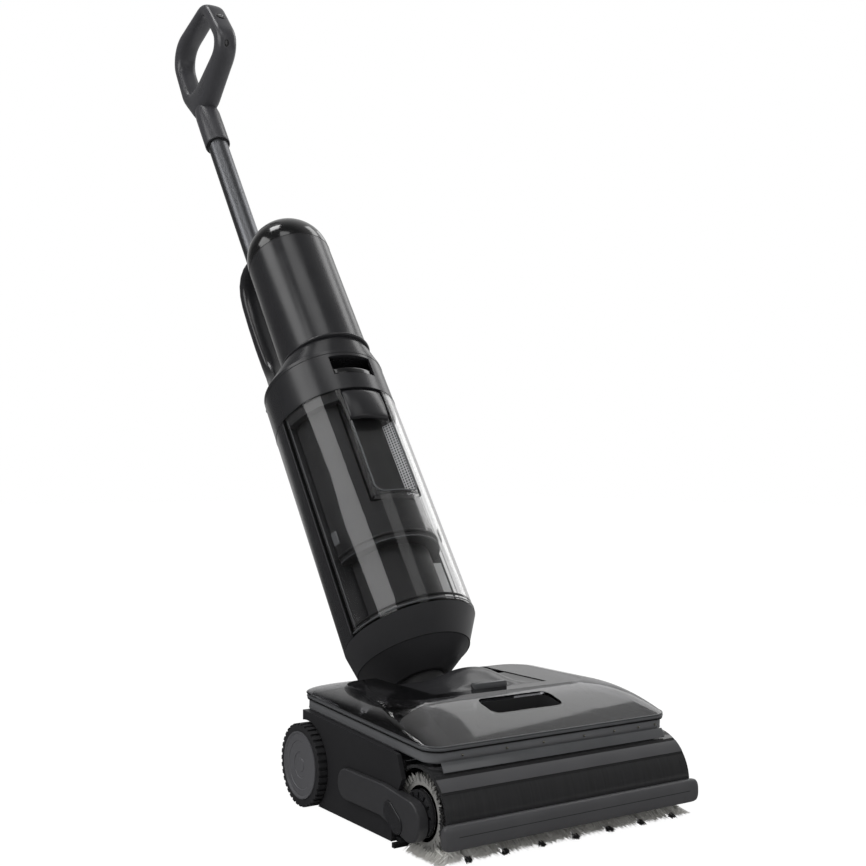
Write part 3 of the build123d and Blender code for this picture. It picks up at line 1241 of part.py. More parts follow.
for button_plane, label in ((POWER_PLANE, "power_button"), (MODE_PLANE, "mode_button")):
    with BuildPart() as push_button:
        with BuildSketch(button_plane.offset(-BUTTON_DEPTH)):
            Circle(BUTTON_R)
        extrude(amount=BUTTON_DEPTH + BUTTON_RISE)
        fillet(push_button.edges().group_by(Axis((0, 0, 0), button_plane.z_dir))[-1], BUTTON_RISE / 2)
    save(push_button, label)
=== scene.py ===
"""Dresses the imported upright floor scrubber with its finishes, trims and a plain white studio."""
import math
import random

import bmesh
import bpy
from mathutils import Matrix, Vector


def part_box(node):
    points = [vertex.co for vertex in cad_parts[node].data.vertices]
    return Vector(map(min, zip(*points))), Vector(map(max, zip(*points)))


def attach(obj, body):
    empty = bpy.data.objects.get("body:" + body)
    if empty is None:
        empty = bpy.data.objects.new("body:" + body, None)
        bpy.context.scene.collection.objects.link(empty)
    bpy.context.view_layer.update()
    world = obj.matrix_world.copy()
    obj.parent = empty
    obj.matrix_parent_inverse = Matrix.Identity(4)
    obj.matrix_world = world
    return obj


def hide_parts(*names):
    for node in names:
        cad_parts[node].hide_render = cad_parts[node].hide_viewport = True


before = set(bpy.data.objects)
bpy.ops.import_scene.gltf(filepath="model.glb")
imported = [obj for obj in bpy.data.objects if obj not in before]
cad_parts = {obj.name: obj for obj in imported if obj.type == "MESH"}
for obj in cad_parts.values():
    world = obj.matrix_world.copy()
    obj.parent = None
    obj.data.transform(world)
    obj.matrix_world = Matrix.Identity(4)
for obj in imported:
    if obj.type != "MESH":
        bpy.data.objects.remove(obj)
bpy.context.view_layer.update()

bl_info = {
    "name": "Upright Floor Scrubber",
    "version": (1, 0, 0),
    "blender": (4, 5, 0),
    "location": "View3D > Sidebar > Scrubber",
    "description": "Finishes, trims and studio of an upright floor scrubber",
    "category": "Object",
}

MM = 0.001
LEAN = math.radians(35.5)
PIVOT = Vector((0.0, 0.150, 0.075))
# Column frame: x across, y to the rear of the column's axis, z up the column from its pivot
COLUMN = Matrix.Translation(PIVOT) @ Matrix.Rotation(-LEAN, 4, "X")
FLAT = Matrix.Identity(4)
SIDES = ((-1, "left"), (1, "right"))

# Radii of the column's round pieces and how far back their axes lie, in millimetres in the column frame
BODY_R = 68.0
BODY_BACK = -10.0
UPPER_R = 49.0
UPPER_BACK = -31.0
TUBE_BACK = 33.0
BASKET_R = 57.0

# Cloudy changes of gloss and tone over a moulding, and the lines of a drawn metal
CLOUD_MM = 38.0
CLOUD_TONES = (0.86, 1.14)
LINE_DEPTH_MM = 0.012
# Dark tufts come once in this length along the roller
TUFT_PITCH = 36.0 * MM
# Fibres keep this far off the floor
FLOOR_LIFT = 0.1 * MM

FINISHES = {}


def linear(code):
    """Turn an sRGB hex value into a linear colour, and leave a linear colour as it is."""
    if not isinstance(code, str):
        return tuple(code)
    parts = [int(code[i:i + 2], 16) / 255 for i in (1, 3, 5)]
    return tuple(c / 12.92 if c <= 0.04045 else ((c + 0.055) / 1.055) ** 2.4 for c in parts) + (1.0,)


def add(tree, kind, links=(), values=(), **settings):
    """Add one node, set its properties and sockets, and link its inputs."""
    made = tree.nodes.new(kind)
    for name, value in settings.items():
        setattr(made, name, value)
    for socket, value in dict(values).items():
        made.inputs[socket].default_value = value
    for socket, source in dict(links).items():
        tree.links.new(source, made.inputs[socket])
    return made


def blank(name):
    """Start a material: its tree, its output node and the Object coordinates that its patterns read."""
    made = bpy.data.materials.new(name)
    made.use_nodes = True
    tree = made.node_tree
    tree.nodes.clear()
    out = tree.nodes.new("ShaderNodeOutputMaterial")
    return made, tree, out, add(tree, "ShaderNodeTexCoord").outputs["Object"]


def per_metre(size_mm):
    """Give the texture scale whose features are about this size."""
    return 1.0 / (size_mm * MM)


def moulded(name, code, rough, grain_mm, depth_mm, coat=0.0, specular=0.5, streak=0.06, sheen=0.0):
    """Make a moulded finish: fine tool grain in the bump, soft changes of gloss and tone over the surface."""
    made, tree, out, place = blank(name)
    # A real spark grain is finer, and is drawn at about half a millimetre or more so that it shows
    grain = add(tree, "ShaderNodeTexNoise", {"Vector": place},
                {"Scale": per_metre(grain_mm), "Detail": 3.0, "Roughness": 0.6})
    cloud = add(tree, "ShaderNodeTexNoise", {"Vector": place},
                {"Scale": per_metre(CLOUD_MM), "Detail": 4.0, "Roughness": 0.55})
    gloss = add(tree, "ShaderNodeMapRange", {"Value": cloud.outputs["Fac"]},
                {"From Min": 0.3, "From Max": 0.7, "To Min": rough - streak, "To Max": rough + streak})
    dim, bright = ([share * c for c in linear(code)[:3]] + [1.0] for share in CLOUD_TONES)
    tone = add(tree, "ShaderNodeMixRGB", {"Fac": cloud.outputs["Fac"]}, {"Color1": dim, "Color2": bright})
    bump = add(tree, "ShaderNodeBump", {"Height": grain.outputs["Fac"]},
               {"Strength": 1.0, "Distance": depth_mm * MM})
    shader = add(tree, "ShaderNodeBsdfPrincipled",
                 {"Base Color": tone.outputs["Color"], "Roughness": gloss.outputs["Result"],
                  "Normal": bump.outputs["Normal"]},
                 {"Coat Weight": coat, "Coat Roughness": 0.06, "Specular IOR Level": specular,
                  "Sheen Weight": sheen})
    tree.links.new(shader.outputs["BSDF"], out.inputs["Surface"])
    FINISHES[name] = made


def clear(name, code, rough, wipe_mm, ior=1.49):
    """Make a clear moulded finish: tinted, polished, with faint wiping marks in its gloss."""
    made, tree, out, place = blank(name)
    wipe = add(tree, "ShaderNodeTexNoise", {"Vector": place},
               {"Scale": per_metre(wipe_mm), "Detail": 5.0, "Distortion": 1.5})
    gloss = add(tree, "ShaderNodeMapRange", {"Value": wipe.outputs["Fac"]},
                {"From Min": 0.35, "From Max": 0.75, "To Min": rough, "To Max": rough + 0.03})
    shader = add(tree, "ShaderNodeBsdfPrincipled", {"Roughness": gloss.outputs["Result"]},
                 {"Base Color": linear(code), "Transmission Weight": 1.0, "IOR": ior})
    # Lamps light what lies under the moulding: shadow rays pass through with its tint
    path = add(tree, "ShaderNodeLightPath")
    through = add(tree, "ShaderNodeBsdfTransparent", (), {"Color": linear(code)})
    mixed = add(tree, "ShaderNodeMixShader",
                {0: path.outputs["Is Shadow Ray"], 1: shader.outputs["BSDF"], 2: through.outputs["BSDF"]})
    tree.links.new(mixed.outputs[0], out.inputs["Surface"])
    FINISHES[name] = made


def brushed(name, code, rough, line_mm, stretch):
    """Make a drawn or ground metal: fine lines along the stretch in its gloss and bump."""
    made, tree, out, place = blank(name)
    # Real lines are finer, and are drawn about a millimetre apart so that they show, turned to the column's lean
    turned = add(tree, "ShaderNodeMapping", {"Vector": place}, {"Scale": stretch, "Rotation": (LEAN, 0.0, 0.0)})
    lines = add(tree, "ShaderNodeTexNoise", {"Vector": turned.outputs["Vector"]},
                {"Scale": per_metre(line_mm), "Detail": 4.0})
    gloss = add(tree, "ShaderNodeMapRange", {"Value": lines.outputs["Fac"]},
                {"To Min": rough - 0.08, "To Max": rough + 0.12})
    bump = add(tree, "ShaderNodeBump", {"Height": lines.outputs["Fac"]},
               {"Strength": 1.0, "Distance": LINE_DEPTH_MM * MM})
    shader = add(tree, "ShaderNodeBsdfPrincipled",
                 {"Roughness": gloss.outputs["Result"], "Normal": bump.outputs["Normal"]},
                 {"Base Color": linear(code), "Metallic": 1.0})
    tree.links.new(shader.outputs["BSDF"], out.inputs["Surface"])
    FINISHES[name] = made


def streaked(name, low, high, rough, wide_mm):
    """Make a dark see-through moulding with streaks up and down behind its polished face."""
    made, tree, out, place = blank(name)
    drawn = add(tree, "ShaderNodeMapping", {"Vector": place}, {"Scale": (1.0, 0.05, 0.05)})
    lines = add(tree, "ShaderNodeTexNoise", {"Vector": drawn.outputs["Vector"]},
                {"Scale": per_metre(wide_mm), "Detail": 5.0, "Roughness": 0.7})
    tone = add(tree, "ShaderNodeMixRGB", {"Fac": lines.outputs["Fac"]},
               {"Color1": linear(low), "Color2": linear(high)})
    shader = add(tree, "ShaderNodeBsdfPrincipled", {"Base Color": tone.outputs["Color"]},
                 {"Roughness": rough, "Transmission Weight": 0.2, "IOR": 1.45})
    tree.links.new(shader.outputs["BSDF"], out.inputs["Surface"])
    FINISHES[name] = made


def make_finishes(sizes):
    """Make every finish once: colour, roughness, grain width and grain depth in millimetres."""
    # Moulded ABS with a fine spark grain: near black, soft wide highlights
    moulded("satin_abs", sizes.body_colour, 0.23, 0.5, 0.0012, streak=0.03)
    # The head's tray: the same ABS, flatter
    moulded("tray_abs", "#2c2c2e", 0.42, 0.6, 0.010, specular=0.4)
    # The roller's side arms and the column's foot: the same ABS, lighter; on the foot the lighter tone is painted
    # light from the floor on its down-turned face
    moulded("arm_abs_foot_lit", "#3b3b3d", 0.34, 0.6, 0.004, specular=0.45)
    # Smoked polycarbonate of the band under the cover, greyer for its thickness
    moulded("band_pc", "#68696b", 0.22, 0.8, 0.001, streak=0.03)
    # The grip loop's ABS: a softer, closer sheen where the hand goes
    moulded("grip_abs", sizes.grip_colour, 0.3, 0.6, 0.004, streak=0.04)
    # Rubber of the bumper: mid grey, satin from handling
    moulded("bumper_rubber", "#4d4d4f", 0.42, 0.8, 0.008, specular=0.4)
    # Polished ABS: deep black with sharp highlights
    moulded("gloss_abs", "#171718", 0.14, 0.8, 0.001, coat=0.4, streak=0.03)
    # Moulded ABS of the pieces under the clear covers: dull black
    moulded("inner_abs", "#333334", 0.5, 0.7, 0.008, specular=0.25)
    # Moulded nylon of the wheel discs and pulleys: mid grey, an even soft sheen
    moulded("disc_nylon", "#5c5c5f", 0.42, 0.7, 0.012)
    # Smoked polycarbonate of the head's cover: a grey tint over the dark pieces below, and a mirror gloss
    clear("smoked_pc", sizes.cover_colour, 0.03, 24.0)
    # Darker smoked polycarbonate of the roller's shroud: the wet pile behind shows only as faint upright streaks
    streaked("dark_smoke", "#2c2c2d", "#3e3e3f", 0.16, 3.2)
    # Beads and trims along the polished edges of the clear mouldings: their pale grey is a painted highlight, the thin
    # lines of light that such edges catch
    moulded("edge_painted_highlight", "#57585a", 0.2, 0.8, 0.001, streak=0.03)
    # Moulded nylon of the perforated filter sheet: pale grey, matt
    moulded("mesh_grey", "#a8a9ab", 0.4, 0.7, 0.006)
    # Frosted polycarbonate of the panel behind the tank's sump: a pale flat patch
    moulded("sight_pc", "#f2f3f3", 0.5, 0.9, 0.002)
    # Moulded ABS of the tank's inner pieces: a greyer black under the clear wall
    moulded("basket_abs", "#343435", 0.5, 0.7, 0.001, specular=0.2)
    # Moulded ABS of the strip along the shroud's shoulder: a mid grey satin band
    moulded("flange_abs", "#4f4f51", 0.34, 0.7, 0.003, specular=0.4)
    # Clear copolyester of the dirty water tank: no tint, sharp highlights and bright edges
    clear("clear_tank", "#fefefe", 0.015, 30.0, ior=1.38)
    # Nitrile rubber: flat black with a dusty grain
    moulded("nitrile", "#222223", 0.7, 0.9, 0.02, specular=0.3)
    # Tyre rubber: greyer, with moulding marks
    moulded("tyre_rubber", "#2e2e30", 0.62, 1.1, 0.03, specular=0.35)
    # Ground steel of shafts and pins: bright, with fine lines
    brushed("ground_steel", "#b9babd", 0.3, 1.2, (0.05, 1.0, 1.0))
    # Anodised aluminium tube, drawn lengthways: dark, with long soft streaks of light
    brushed("anodised_tube", "#77787b", 0.36, 0.9, (1.0, 1.0, 0.04))
    # Cast motor cans: dull grey metal
    brushed("cast_can", "#77787b", 0.45, 2.0, (1.0, 1.0, 1.0))
    # Lacquered circuit board: dark green under a soft gloss
    moulded("board_lacquer", "#123a24", 0.35, 1.4, 0.02)
    # Microfibre pile: matt, with a soft sheen at its edges; its mid grey is painted shade over the pale pile under the
    # shroud
    moulded("pile_painted_shade", sizes.pile_shade_colour, 0.9, 1.6, 0.05, specular=0.2, sheen=0.3, streak=0.05)
    # The same pile where the floor presses it out: a lit copy, painted paler as the light the white floor throws on it
    moulded("fringe_painted_light", "#efeeea", 0.9, 1.6, 0.05, specular=0.2, sheen=0.3, streak=0.05)
    # Stiff nylon of the scrubbing tufts: dark and matt
    moulded("dark_tuft", "#3a3a3b", 0.85, 1.6, 0.05, specular=0.2, streak=0.05)
    # Plated brass of tips and contacts: small bright points
    brushed("plated_brass", "#c9c4b6", 0.22, 1.0, (1.0, 1.0, 1.0))
    # Printed ink of plain marks: pale and flat
    moulded("pale_ink", "#c6c7c9", 0.5, 0.9, 0.002)


NODE_FINISH = {
    "tray_abs": ["head_chassis", "squeegee_holder"],
    # The column's foot takes the lighter ABS as painted floor light
    "arm_abs_foot_lit": ["side_arm_left", "side_arm_right", "base_cup"],
    "satin_abs": ["back_housing", "collar", "upper_body", "carry_handle", "release_button_left",
                  "release_button_right", "roller_hub_left", "roller_hub_right"],
    "gloss_abs": ["front_beam", "neck_fairing", "display_dome", "handle_left", "handle_right", "tank_latch",
                  "cover_release", "power_button", "mode_button"],
    "basket_abs": ["separator_basket", "intake_duct", "tank_lid", "hand_well"],
    "inner_abs": ["motor_pod", "suction_channel", "water_pump",
                  "battery_pack", "spray_bar", "roller_core", "hinge_bracket", "tilt_yoke"],
    "smoked_pc": ["top_cover"],
    "band_pc": ["cover_band"],
    "dark_smoke": ["roller_shroud"],
    "clear_tank": ["dirty_tank"],
    "disc_nylon": ["wheel_left", "wheel_right", "roller_pulley", "impeller"],
    "nitrile": ["squeegee", "front_bumper", "drive_belt"],
    "tyre_rubber": ["tyre_left", "tyre_right"],
    "ground_steel": ["roller_shaft", "axle_left", "axle_right", "hinge_pin", "motor_pulley"],
    "anodised_tube": ["handle_tube"],
    "cast_can": ["brush_motor", "suction_motor"],
    "board_lacquer": ["control_board", "display_board"],
    "pile_painted_shade": ["roller_pile"],
}


def start():
    """Go to object mode with nothing selected."""
    if bpy.context.mode != "OBJECT":
        bpy.ops.object.mode_set(mode="OBJECT")
    bpy.ops.object.select_all(action="DESELECT")


def choose(test):
    """In edit mode, select the faces whose middle and normal pass the test."""
    mesh = bmesh.from_edit_mesh(bpy.context.edit_object.data)
    for face in mesh.faces:
        face.select_set(test(face.calc_center_median(), face.normal))
    mesh.select_flush_mode()
    bmesh.update_edit_mesh(bpy.context.edit_object.data)


def finish_piece(piece, name, body, finish, place=FLAT, angle=35):
    """Put a modelled piece in its place, bake that into its mesh, and let it ride on its body."""
    start()
    piece.select_set(True)
    bpy.context.view_layer.objects.active = piece
    bpy.ops.object.transform_apply(location=True, rotation=True, scale=True)
    piece.matrix_world = place
    bpy.ops.object.transform_apply(location=True, rotation=True, scale=True)
    bpy.ops.object.shade_smooth_by_angle(angle=math.radians(angle))
    piece.name = name
    piece.data.name = name
    if finish:
        piece.data.materials.clear()
        piece.data.materials.append(FINISHES[finish])
    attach(piece, body)
    return piece


def bead(name, body, finish, radius, thick, centre, tip=0.0, sides=10):
    """Model a round bead or seam ring about the local z axis, sizes in millimetres."""
    start()
    bpy.ops.mesh.primitive_torus_add(major_radius=radius * MM, minor_radius=thick * MM, major_segments=128,
                                     minor_segments=sides)
    piece = bpy.context.object
    piece.rotation_euler.x = tip
    piece.location = Vector(centre) * MM
    return finish_piece(piece, name, body, finish, COLUMN, 60)


def bar(name, body, finish, size, centre, round_mm, place=COLUMN, turn=(0.0, 0.0, 0.0)):
    """Model a bar with rounded edges, sizes in millimetres."""
    start()
    bpy.ops.mesh.primitive_cube_add(size=1.0)
    piece = bpy.context.object
    piece.scale = Vector(size) * MM
    bpy.ops.object.transform_apply(location=False, rotation=False, scale=True)
    bpy.ops.object.mode_set(mode="EDIT")
    bpy.ops.mesh.select_all(action="SELECT")
    bpy.ops.mesh.bevel(offset=round_mm * MM, segments=3, affect="EDGES")
    bpy.ops.object.mode_set(mode="OBJECT")
    piece.rotation_euler = turn
    piece.location = Vector(centre) * MM
    return finish_piece(piece, name, body, finish, place)


def wire(name, body, finish, points, radius, closed=False, place=COLUMN):
    """Model a thin bead that follows a line of points, sizes in millimetres."""
    start()
    line = bpy.data.curves.new(name, "CURVE")
    line.dimensions = "3D"
    line.bevel_depth = radius * MM
    line.bevel_resolution = 2
    line.use_fill_caps = not closed
    spline = line.splines.new("POLY")
    spline.points.add(len(points) - 1)
    for spot, point in zip(spline.points, points):
        spot.co = (*(c * MM for c in point), 1.0)
    spline.use_cyclic_u = closed
    piece = bpy.data.objects.new(name, line)
    bpy.context.scene.collection.objects.link(piece)
    piece.select_set(True)
    bpy.context.view_layer.objects.active = piece
    bpy.ops.object.convert(target="MESH")
    return finish_piece(bpy.context.object, name, body, finish, place, 60)


def ring_arc(radius, back, along, first, last, count=64):
    """Give points on a ring of the column; the angle starts at its front and grows to its right."""
    turns = [math.radians(first + (last - first) * k / (count - 1)) for k in range(count)]
    return [(radius * math.sin(t), back - radius * math.cos(t), along) for t in turns]


def wrap(piece, radius, back, crown=0.0, height=1.0):
    """Bend a flat piece round the column: its y is depth from the surface, in metres."""
    for vertex in piece.data.vertices:
        x, y, z = vertex.co
        bulge = crown * MM * (1 - (z / (height * MM / 2)) ** 2)
        vertex.co.y = (back * MM) - math.sqrt((radius * MM) ** 2 - x * x) + y - bulge


def pad(name, body, finish, size, along, radius, back, round_mm, crown=0.0, cuts=9):
    """Model a rounded pad that follows the column's round front, sizes in millimetres."""
    start()
    width, depth, height = size
    bpy.ops.mesh.primitive_cube_add(size=1.0, location=(0.0, depth * MM / 2, 0.0))
    piece = bpy.context.object
    piece.scale = Vector(size) * MM
    bpy.ops.object.transform_apply(location=True, rotation=False, scale=True)
    bpy.ops.object.mode_set(mode="EDIT")
    bpy.ops.mesh.select_all(action="SELECT")
    bpy.ops.mesh.bevel(offset=round_mm * MM, segments=4, affect="EDGES")
    for axis, span in ((Vector((1, 0, 0)), width), (Vector((0, 0, 1)), height)):
        for k in range(1, cuts):
            bpy.ops.mesh.select_all(action="SELECT")
            bpy.ops.mesh.bisect(plane_co=axis * ((k / cuts - 0.5) * (span - 2 * round_mm) * MM), plane_no=axis)
    bpy.ops.object.mode_set(mode="OBJECT")
    wrap(piece, radius, back, crown, height)
    piece.location.z = along * MM
    return finish_piece(piece, name, body, finish, COLUMN, 40)


def loft(name, body, finish, rings, place=COLUMN, closed=False):
    """Model a skin through rings of points, extruded from one to the next, sizes in millimetres."""
    start()
    bpy.ops.mesh.primitive_circle_add(vertices=len(rings[0]), radius=1.0, fill_type="NGON")
    piece = bpy.context.object
    bpy.ops.object.mode_set(mode="EDIT")
    mesh = bmesh.from_edit_mesh(piece.data)
    turn = mesh.verts.layers.int.new("turn")
    for number, vertex in enumerate(mesh.verts):
        vertex[turn] = number
    for number, ring in enumerate(rings):
        if number:
            bpy.ops.mesh.extrude_region()
            mesh = bmesh.from_edit_mesh(piece.data)
            turn = mesh.verts.layers.int["turn"]
        for vertex in mesh.verts:
            if vertex.select:
                vertex.co = Vector(ring[vertex[turn]]) * MM
        bmesh.update_edit_mesh(piece.data)
    if closed:
        bpy.ops.mesh.select_all(action="DESELECT")
        mesh = bmesh.from_edit_mesh(piece.data)
        for face in mesh.faces:
            face.select_set(len(face.verts) > 4)
        bmesh.update_edit_mesh(piece.data)
        bpy.ops.mesh.delete(type="ONLY_FACE")
        bpy.ops.mesh.select_all(action="SELECT")
        bpy.ops.mesh.remove_doubles(threshold=1e-6)
    bpy.ops.mesh.select_all(action="SELECT")
    bpy.ops.mesh.normals_make_consistent(inside=False)
    return finish_piece(piece, name, body, finish, place, 50)


def oval(centre, across, toward, wide, deep, power=3.0, count=24):
    """Give a rounded-square ring about a centre, with its two half sizes along two directions."""
    ring = []
    for k in range(count):
        turn = 2 * math.pi * k / count
        side, rise = math.cos(turn), math.sin(turn)
        ring.append(Vector(centre) + Vector(across) * wide * math.copysign(abs(side) ** (2 / power), side)
                    + Vector(toward) * deep * math.copysign(abs(rise) ** (2 / power), rise))
    return ring


def rounded(corners, steps=10):
    """Give the outline of a polygon whose corners (x, y, radius) are rounded."""
    line = []
    for k, (x, y, radius) in enumerate(corners):
        here = Vector((x, y))
        before = (Vector(corners[k - 1][:2]) - here).normalized()
        after = (Vector(corners[(k + 1) % len(corners)][:2]) - here).normalized()
        half = before.angle(after) / 2
        middle = here + (before + after).normalized() * radius / math.sin(half)
        first = here + before * radius / math.tan(half) - middle
        last = here + after * radius / math.tan(half) - middle
        sweep = first.angle_signed(last)
        for step in range(steps + 1):
            line.append(middle + Matrix.Rotation(-sweep * step / steps, 2) @ first)
    return line


def reach(line, centre, turn):
    """Give the point where a ray from the centre meets an outline."""
    ray = Vector((math.cos(turn), math.sin(turn)))
    side = Vector((-ray.y, ray.x))
    for k, point in enumerate(line):
        a, b = line[k - 1] - centre, point - centre
        u, v = a.dot(side), b.dot(side)
        if u * v <= 0 and u != v:
            hit = a.lerp(b, u / (u - v))
            if hit.dot(ray) > 0:
                return centre + hit
    raise ValueError("the outline doesn't surround its centre")


class ScrubberSizes(bpy.types.PropertyGroup):
    """Sizes and colours of the trims that a user would change."""

    tuft_rows: bpy.props.IntProperty(name="Tuft rows", description="Rows of tufts round the roller", default=78, min=8)
    tuft_step: bpy.props.FloatProperty(name="Tuft step", description="Distance between tufts along the roller",
                                       default=2.5 * MM, subtype="DISTANCE")
    fringe_count: bpy.props.IntProperty(name="Fringe fibres", description="Fibres pushed out in front of the roller",
                                        default=2600, min=2)
    grip_half: bpy.props.FloatProperty(name="Grip half width", description="Half the width of the grip loop's bars",
                                       default=13.5 * MM, subtype="DISTANCE")
    body_colour: bpy.props.FloatVectorProperty(name="Body", description="Colour of the column's moulded ABS", size=4,
                                               default=linear("#2c2c2e"), subtype="COLOR", min=0.0, max=1.0)
    grip_colour: bpy.props.FloatVectorProperty(name="Grip", description="Colour of the grip loop", size=4,
                                               default=linear("#444447"), subtype="COLOR", min=0.0, max=1.0)
    cover_colour: bpy.props.FloatVectorProperty(name="Cover", description="Tint of the head's smoked cover", size=4,
                                                default=linear("#8c8c8f"), subtype="COLOR", min=0.0, max=1.0)
    # The pile's colour is painted shade: a mid grey for the pale pile in the shroud's shadow
    pile_shade_colour: bpy.props.FloatVectorProperty(name="Pile", description="Colour of the roller's pale pile", size=4,
                                               default=linear("#908f8c"), subtype="COLOR", min=0.0, max=1.0)
    light_level: bpy.props.FloatProperty(name="Light level", description="Share of the studio's light",
                                         default=1.0, min=0.0)


class SCRUBBER_OT_finishes(bpy.types.Operator):
    """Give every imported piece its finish"""

    bl_idname = "scrubber.finishes"
    bl_label = "Finishes"

    def execute(self, context):
        make_finishes(context.scene.scrubber_sizes)
        for finish, names in NODE_FINISH.items():
            for name in names:
                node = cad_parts[name]
                node.data.materials.clear()
                node.data.materials.append(FINISHES[finish])
        return {"FINISHED"}


def face_fibre(faces, dark, first, is_dark):
    """Face one fibre of two three-point rings and a tip, whose points start at first."""
    for corner in range(3):
        follow = (corner + 1) % 3
        faces.append((first + follow, first + corner, first + 3 + corner, first + 3 + follow))
        faces.append((first + 3 + follow, first + 3 + corner, first + 6))
        dark.extend([int(is_dark)] * 2)


def lay_fibre(points, faces, dark, root, tip, wide, across, lift=0.0, is_dark=False):
    """Lay one fibre from its root to its tip on the floor, as wide across as it is tall."""
    first = len(points)
    for share, width in ((0.0, wide), (0.55, 0.85 * wide)):
        here = root.lerp(tip, share)
        for corner in range(3):
            spoke = 2 * math.pi * corner / 3
            spot = here + across * width * math.cos(spoke)
            points.append((spot.x, spot.y, max(here.z + lift * share + width * math.sin(spoke), FLOOR_LIFT)))
    points.append(tuple(tip))
    face_fibre(faces, dark, first, is_dark)


def fleece(name, points, faces, dark, finishes):
    """Make one mesh of fibres in two finishes."""
    mesh = bpy.data.meshes.new(name)
    mesh.from_pydata(points, [], faces)
    mesh.polygons.foreach_set("material_index", dark)
    piece = bpy.data.objects.new(name, mesh)
    bpy.context.scene.collection.objects.link(piece)
    for finish in finishes:
        mesh.materials.append(FINISHES[finish])
    return piece


class SCRUBBER_OT_pile(bpy.types.Operator):
    """Build the roller's pile from tufts, with dark scrubbing tufts in a spiral, and its fringe on the floor"""

    bl_idname = "scrubber.pile"
    bl_label = "Roller pile"

    def execute(self, context):
        sizes = context.scene.scrubber_sizes
        low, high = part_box("roller_pile")
        middle = Vector((0.0, (low.y + high.y) / 2, (low.z + high.z) / 2))
        outer = (high.y - low.y) / 2
        root = outer * 0.80
        half = high.x
        draw = random.Random(7)
        points, faces, dark = [], [], []
        steps = 96
        for x in (-half, half):
            for k in range(steps):
                turn = 2 * math.pi * k / steps
                points.append((x, middle.y + root * math.cos(turn), middle.z + root * math.sin(turn)))
        for k in range(steps):
            faces.append((k, (k + 1) % steps, steps + (k + 1) % steps, steps + k))
            dark.append(0)
        faces.append(tuple(reversed(range(steps))))
        faces.append(tuple(range(steps, 2 * steps)))
        dark += [0, 0]
        across = int(2 * half / sizes.tuft_step)
        for row in range(sizes.tuft_rows):
            for column in range(across + 1):
                x = -half + column * sizes.tuft_step + draw.uniform(-0.9, 0.9) * MM
                turn = 2 * math.pi * (row + draw.uniform(-0.45, 0.45)) / sizes.tuft_rows
                is_dark = (x / TUFT_PITCH + turn / (2 * math.pi)) % 1.0 < 0.14
                far = outer * (draw.uniform(0.95, 1.0) if not is_dark else 1.0)
                swirl = draw.uniform(-0.05, 0.05) + 0.03
                end_lean = max(0.0, (abs(x) - half + 6 * MM)) * 0.35 * (1 if x > 0 else -1)
                wide = draw.uniform(0.9, 1.5) * MM
                first = len(points)
                for share, width in ((0.0, wide), (0.55, 0.8 * wide)):
                    radius = root + share * (far - root) - (0.5 * MM if share == 0 else 0)
                    bend = turn + swirl * share * share
                    for corner in range(3):
                        spoke = 2 * math.pi * corner / 3 + row
                        side = width * math.cos(spoke) / radius
                        points.append((
                            min(max(x + width * math.sin(spoke) + end_lean * share, -half - 3 * MM), half + 3 * MM),
                            middle.y + radius * math.cos(bend + side),
                            middle.z + radius * math.sin(bend + side),
                        ))
                tip = turn + swirl
                points.append((x + end_lean + draw.uniform(-0.6, 0.6) * MM, middle.y + far * math.cos(tip),
                               middle.z + far * math.sin(tip)))
                face_fibre(faces, dark, first, is_dark)
        piece = fleece("pile_fleece", points, faces, dark, ("pile_painted_shade", "dark_tuft"))
        finish_piece(piece, "pile_fleece", "roller", None, FLAT, 70)
        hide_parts("roller_pile")
        self.fringe(context, middle, half, draw)
        return {"FINISHED"}

    def fringe(self, context, middle, half, draw):
        """Lay the fibres that the floor pushes out in front of the roller and past its ends."""
        points, faces, dark = [], [], []
        spots = []
        count = context.scene.scrubber_sizes.fringe_count
        for k in range(count):
            x = -half + 2 * half * (k + draw.uniform(-0.4, 0.4)) / (count - 1)
            is_dark = x / TUFT_PITCH % 1.0 < 0.13
            tip_y = draw.uniform(0.0385, 0.0405) if is_dark else draw.uniform(0.030, 0.040)
            root_y = draw.uniform(0.0345, 0.0365) if is_dark else draw.uniform(0.010, 0.026)
            spots.append((x, root_y, draw.uniform(-0.003, 0.003), tip_y, is_dark))
        for x, root_y, slide, tip_y, is_dark in spots:
            wide = draw.uniform(0.45, 0.8) * MM
            root_z = draw.uniform(2.0, 5.0) * MM if is_dark else draw.uniform(3.0, 11.0) * MM
            tip_z = draw.uniform(0.4, 3.0 if is_dark else 5.0) * MM
            root = Vector((x, middle.y - root_y, root_z))
            tip = Vector((x + slide, middle.y - tip_y, tip_z))
            lay_fibre(points, faces, dark, root, tip, wide, Vector((1, 0, 0)), 0.8 * MM, is_dark)
        # Past the roller's ends the floor splays the pile outwards
        for side in (-1, 1):
            for _ in range(count // 6):
                y = middle.y + draw.uniform(-33.0, 14.0) * MM
                root = Vector((side * (half - 2.0 * MM), y, draw.uniform(2.0, 9.0) * MM))
                tip = Vector((side * (half + draw.uniform(3.0, 11.0) * MM), y + draw.uniform(-6.0, 2.0) * MM,
                              draw.uniform(0.4, 2.5) * MM))
                lay_fibre(points, faces, dark, root, tip, draw.uniform(0.45, 0.8) * MM, Vector((0, 1, 0)))
        piece = fleece("pile_fringe", points, faces, dark, ("fringe_painted_light", "dark_tuft"))
        start()
        piece.select_set(True)
        context.view_layer.objects.active = piece
        bpy.ops.object.mode_set(mode="EDIT")
        bpy.ops.mesh.select_all(action="SELECT")
        bpy.ops.mesh.normals_make_consistent(inside=False)
        finish_piece(piece, "pile_fringe", "head", None, FLAT, 70)


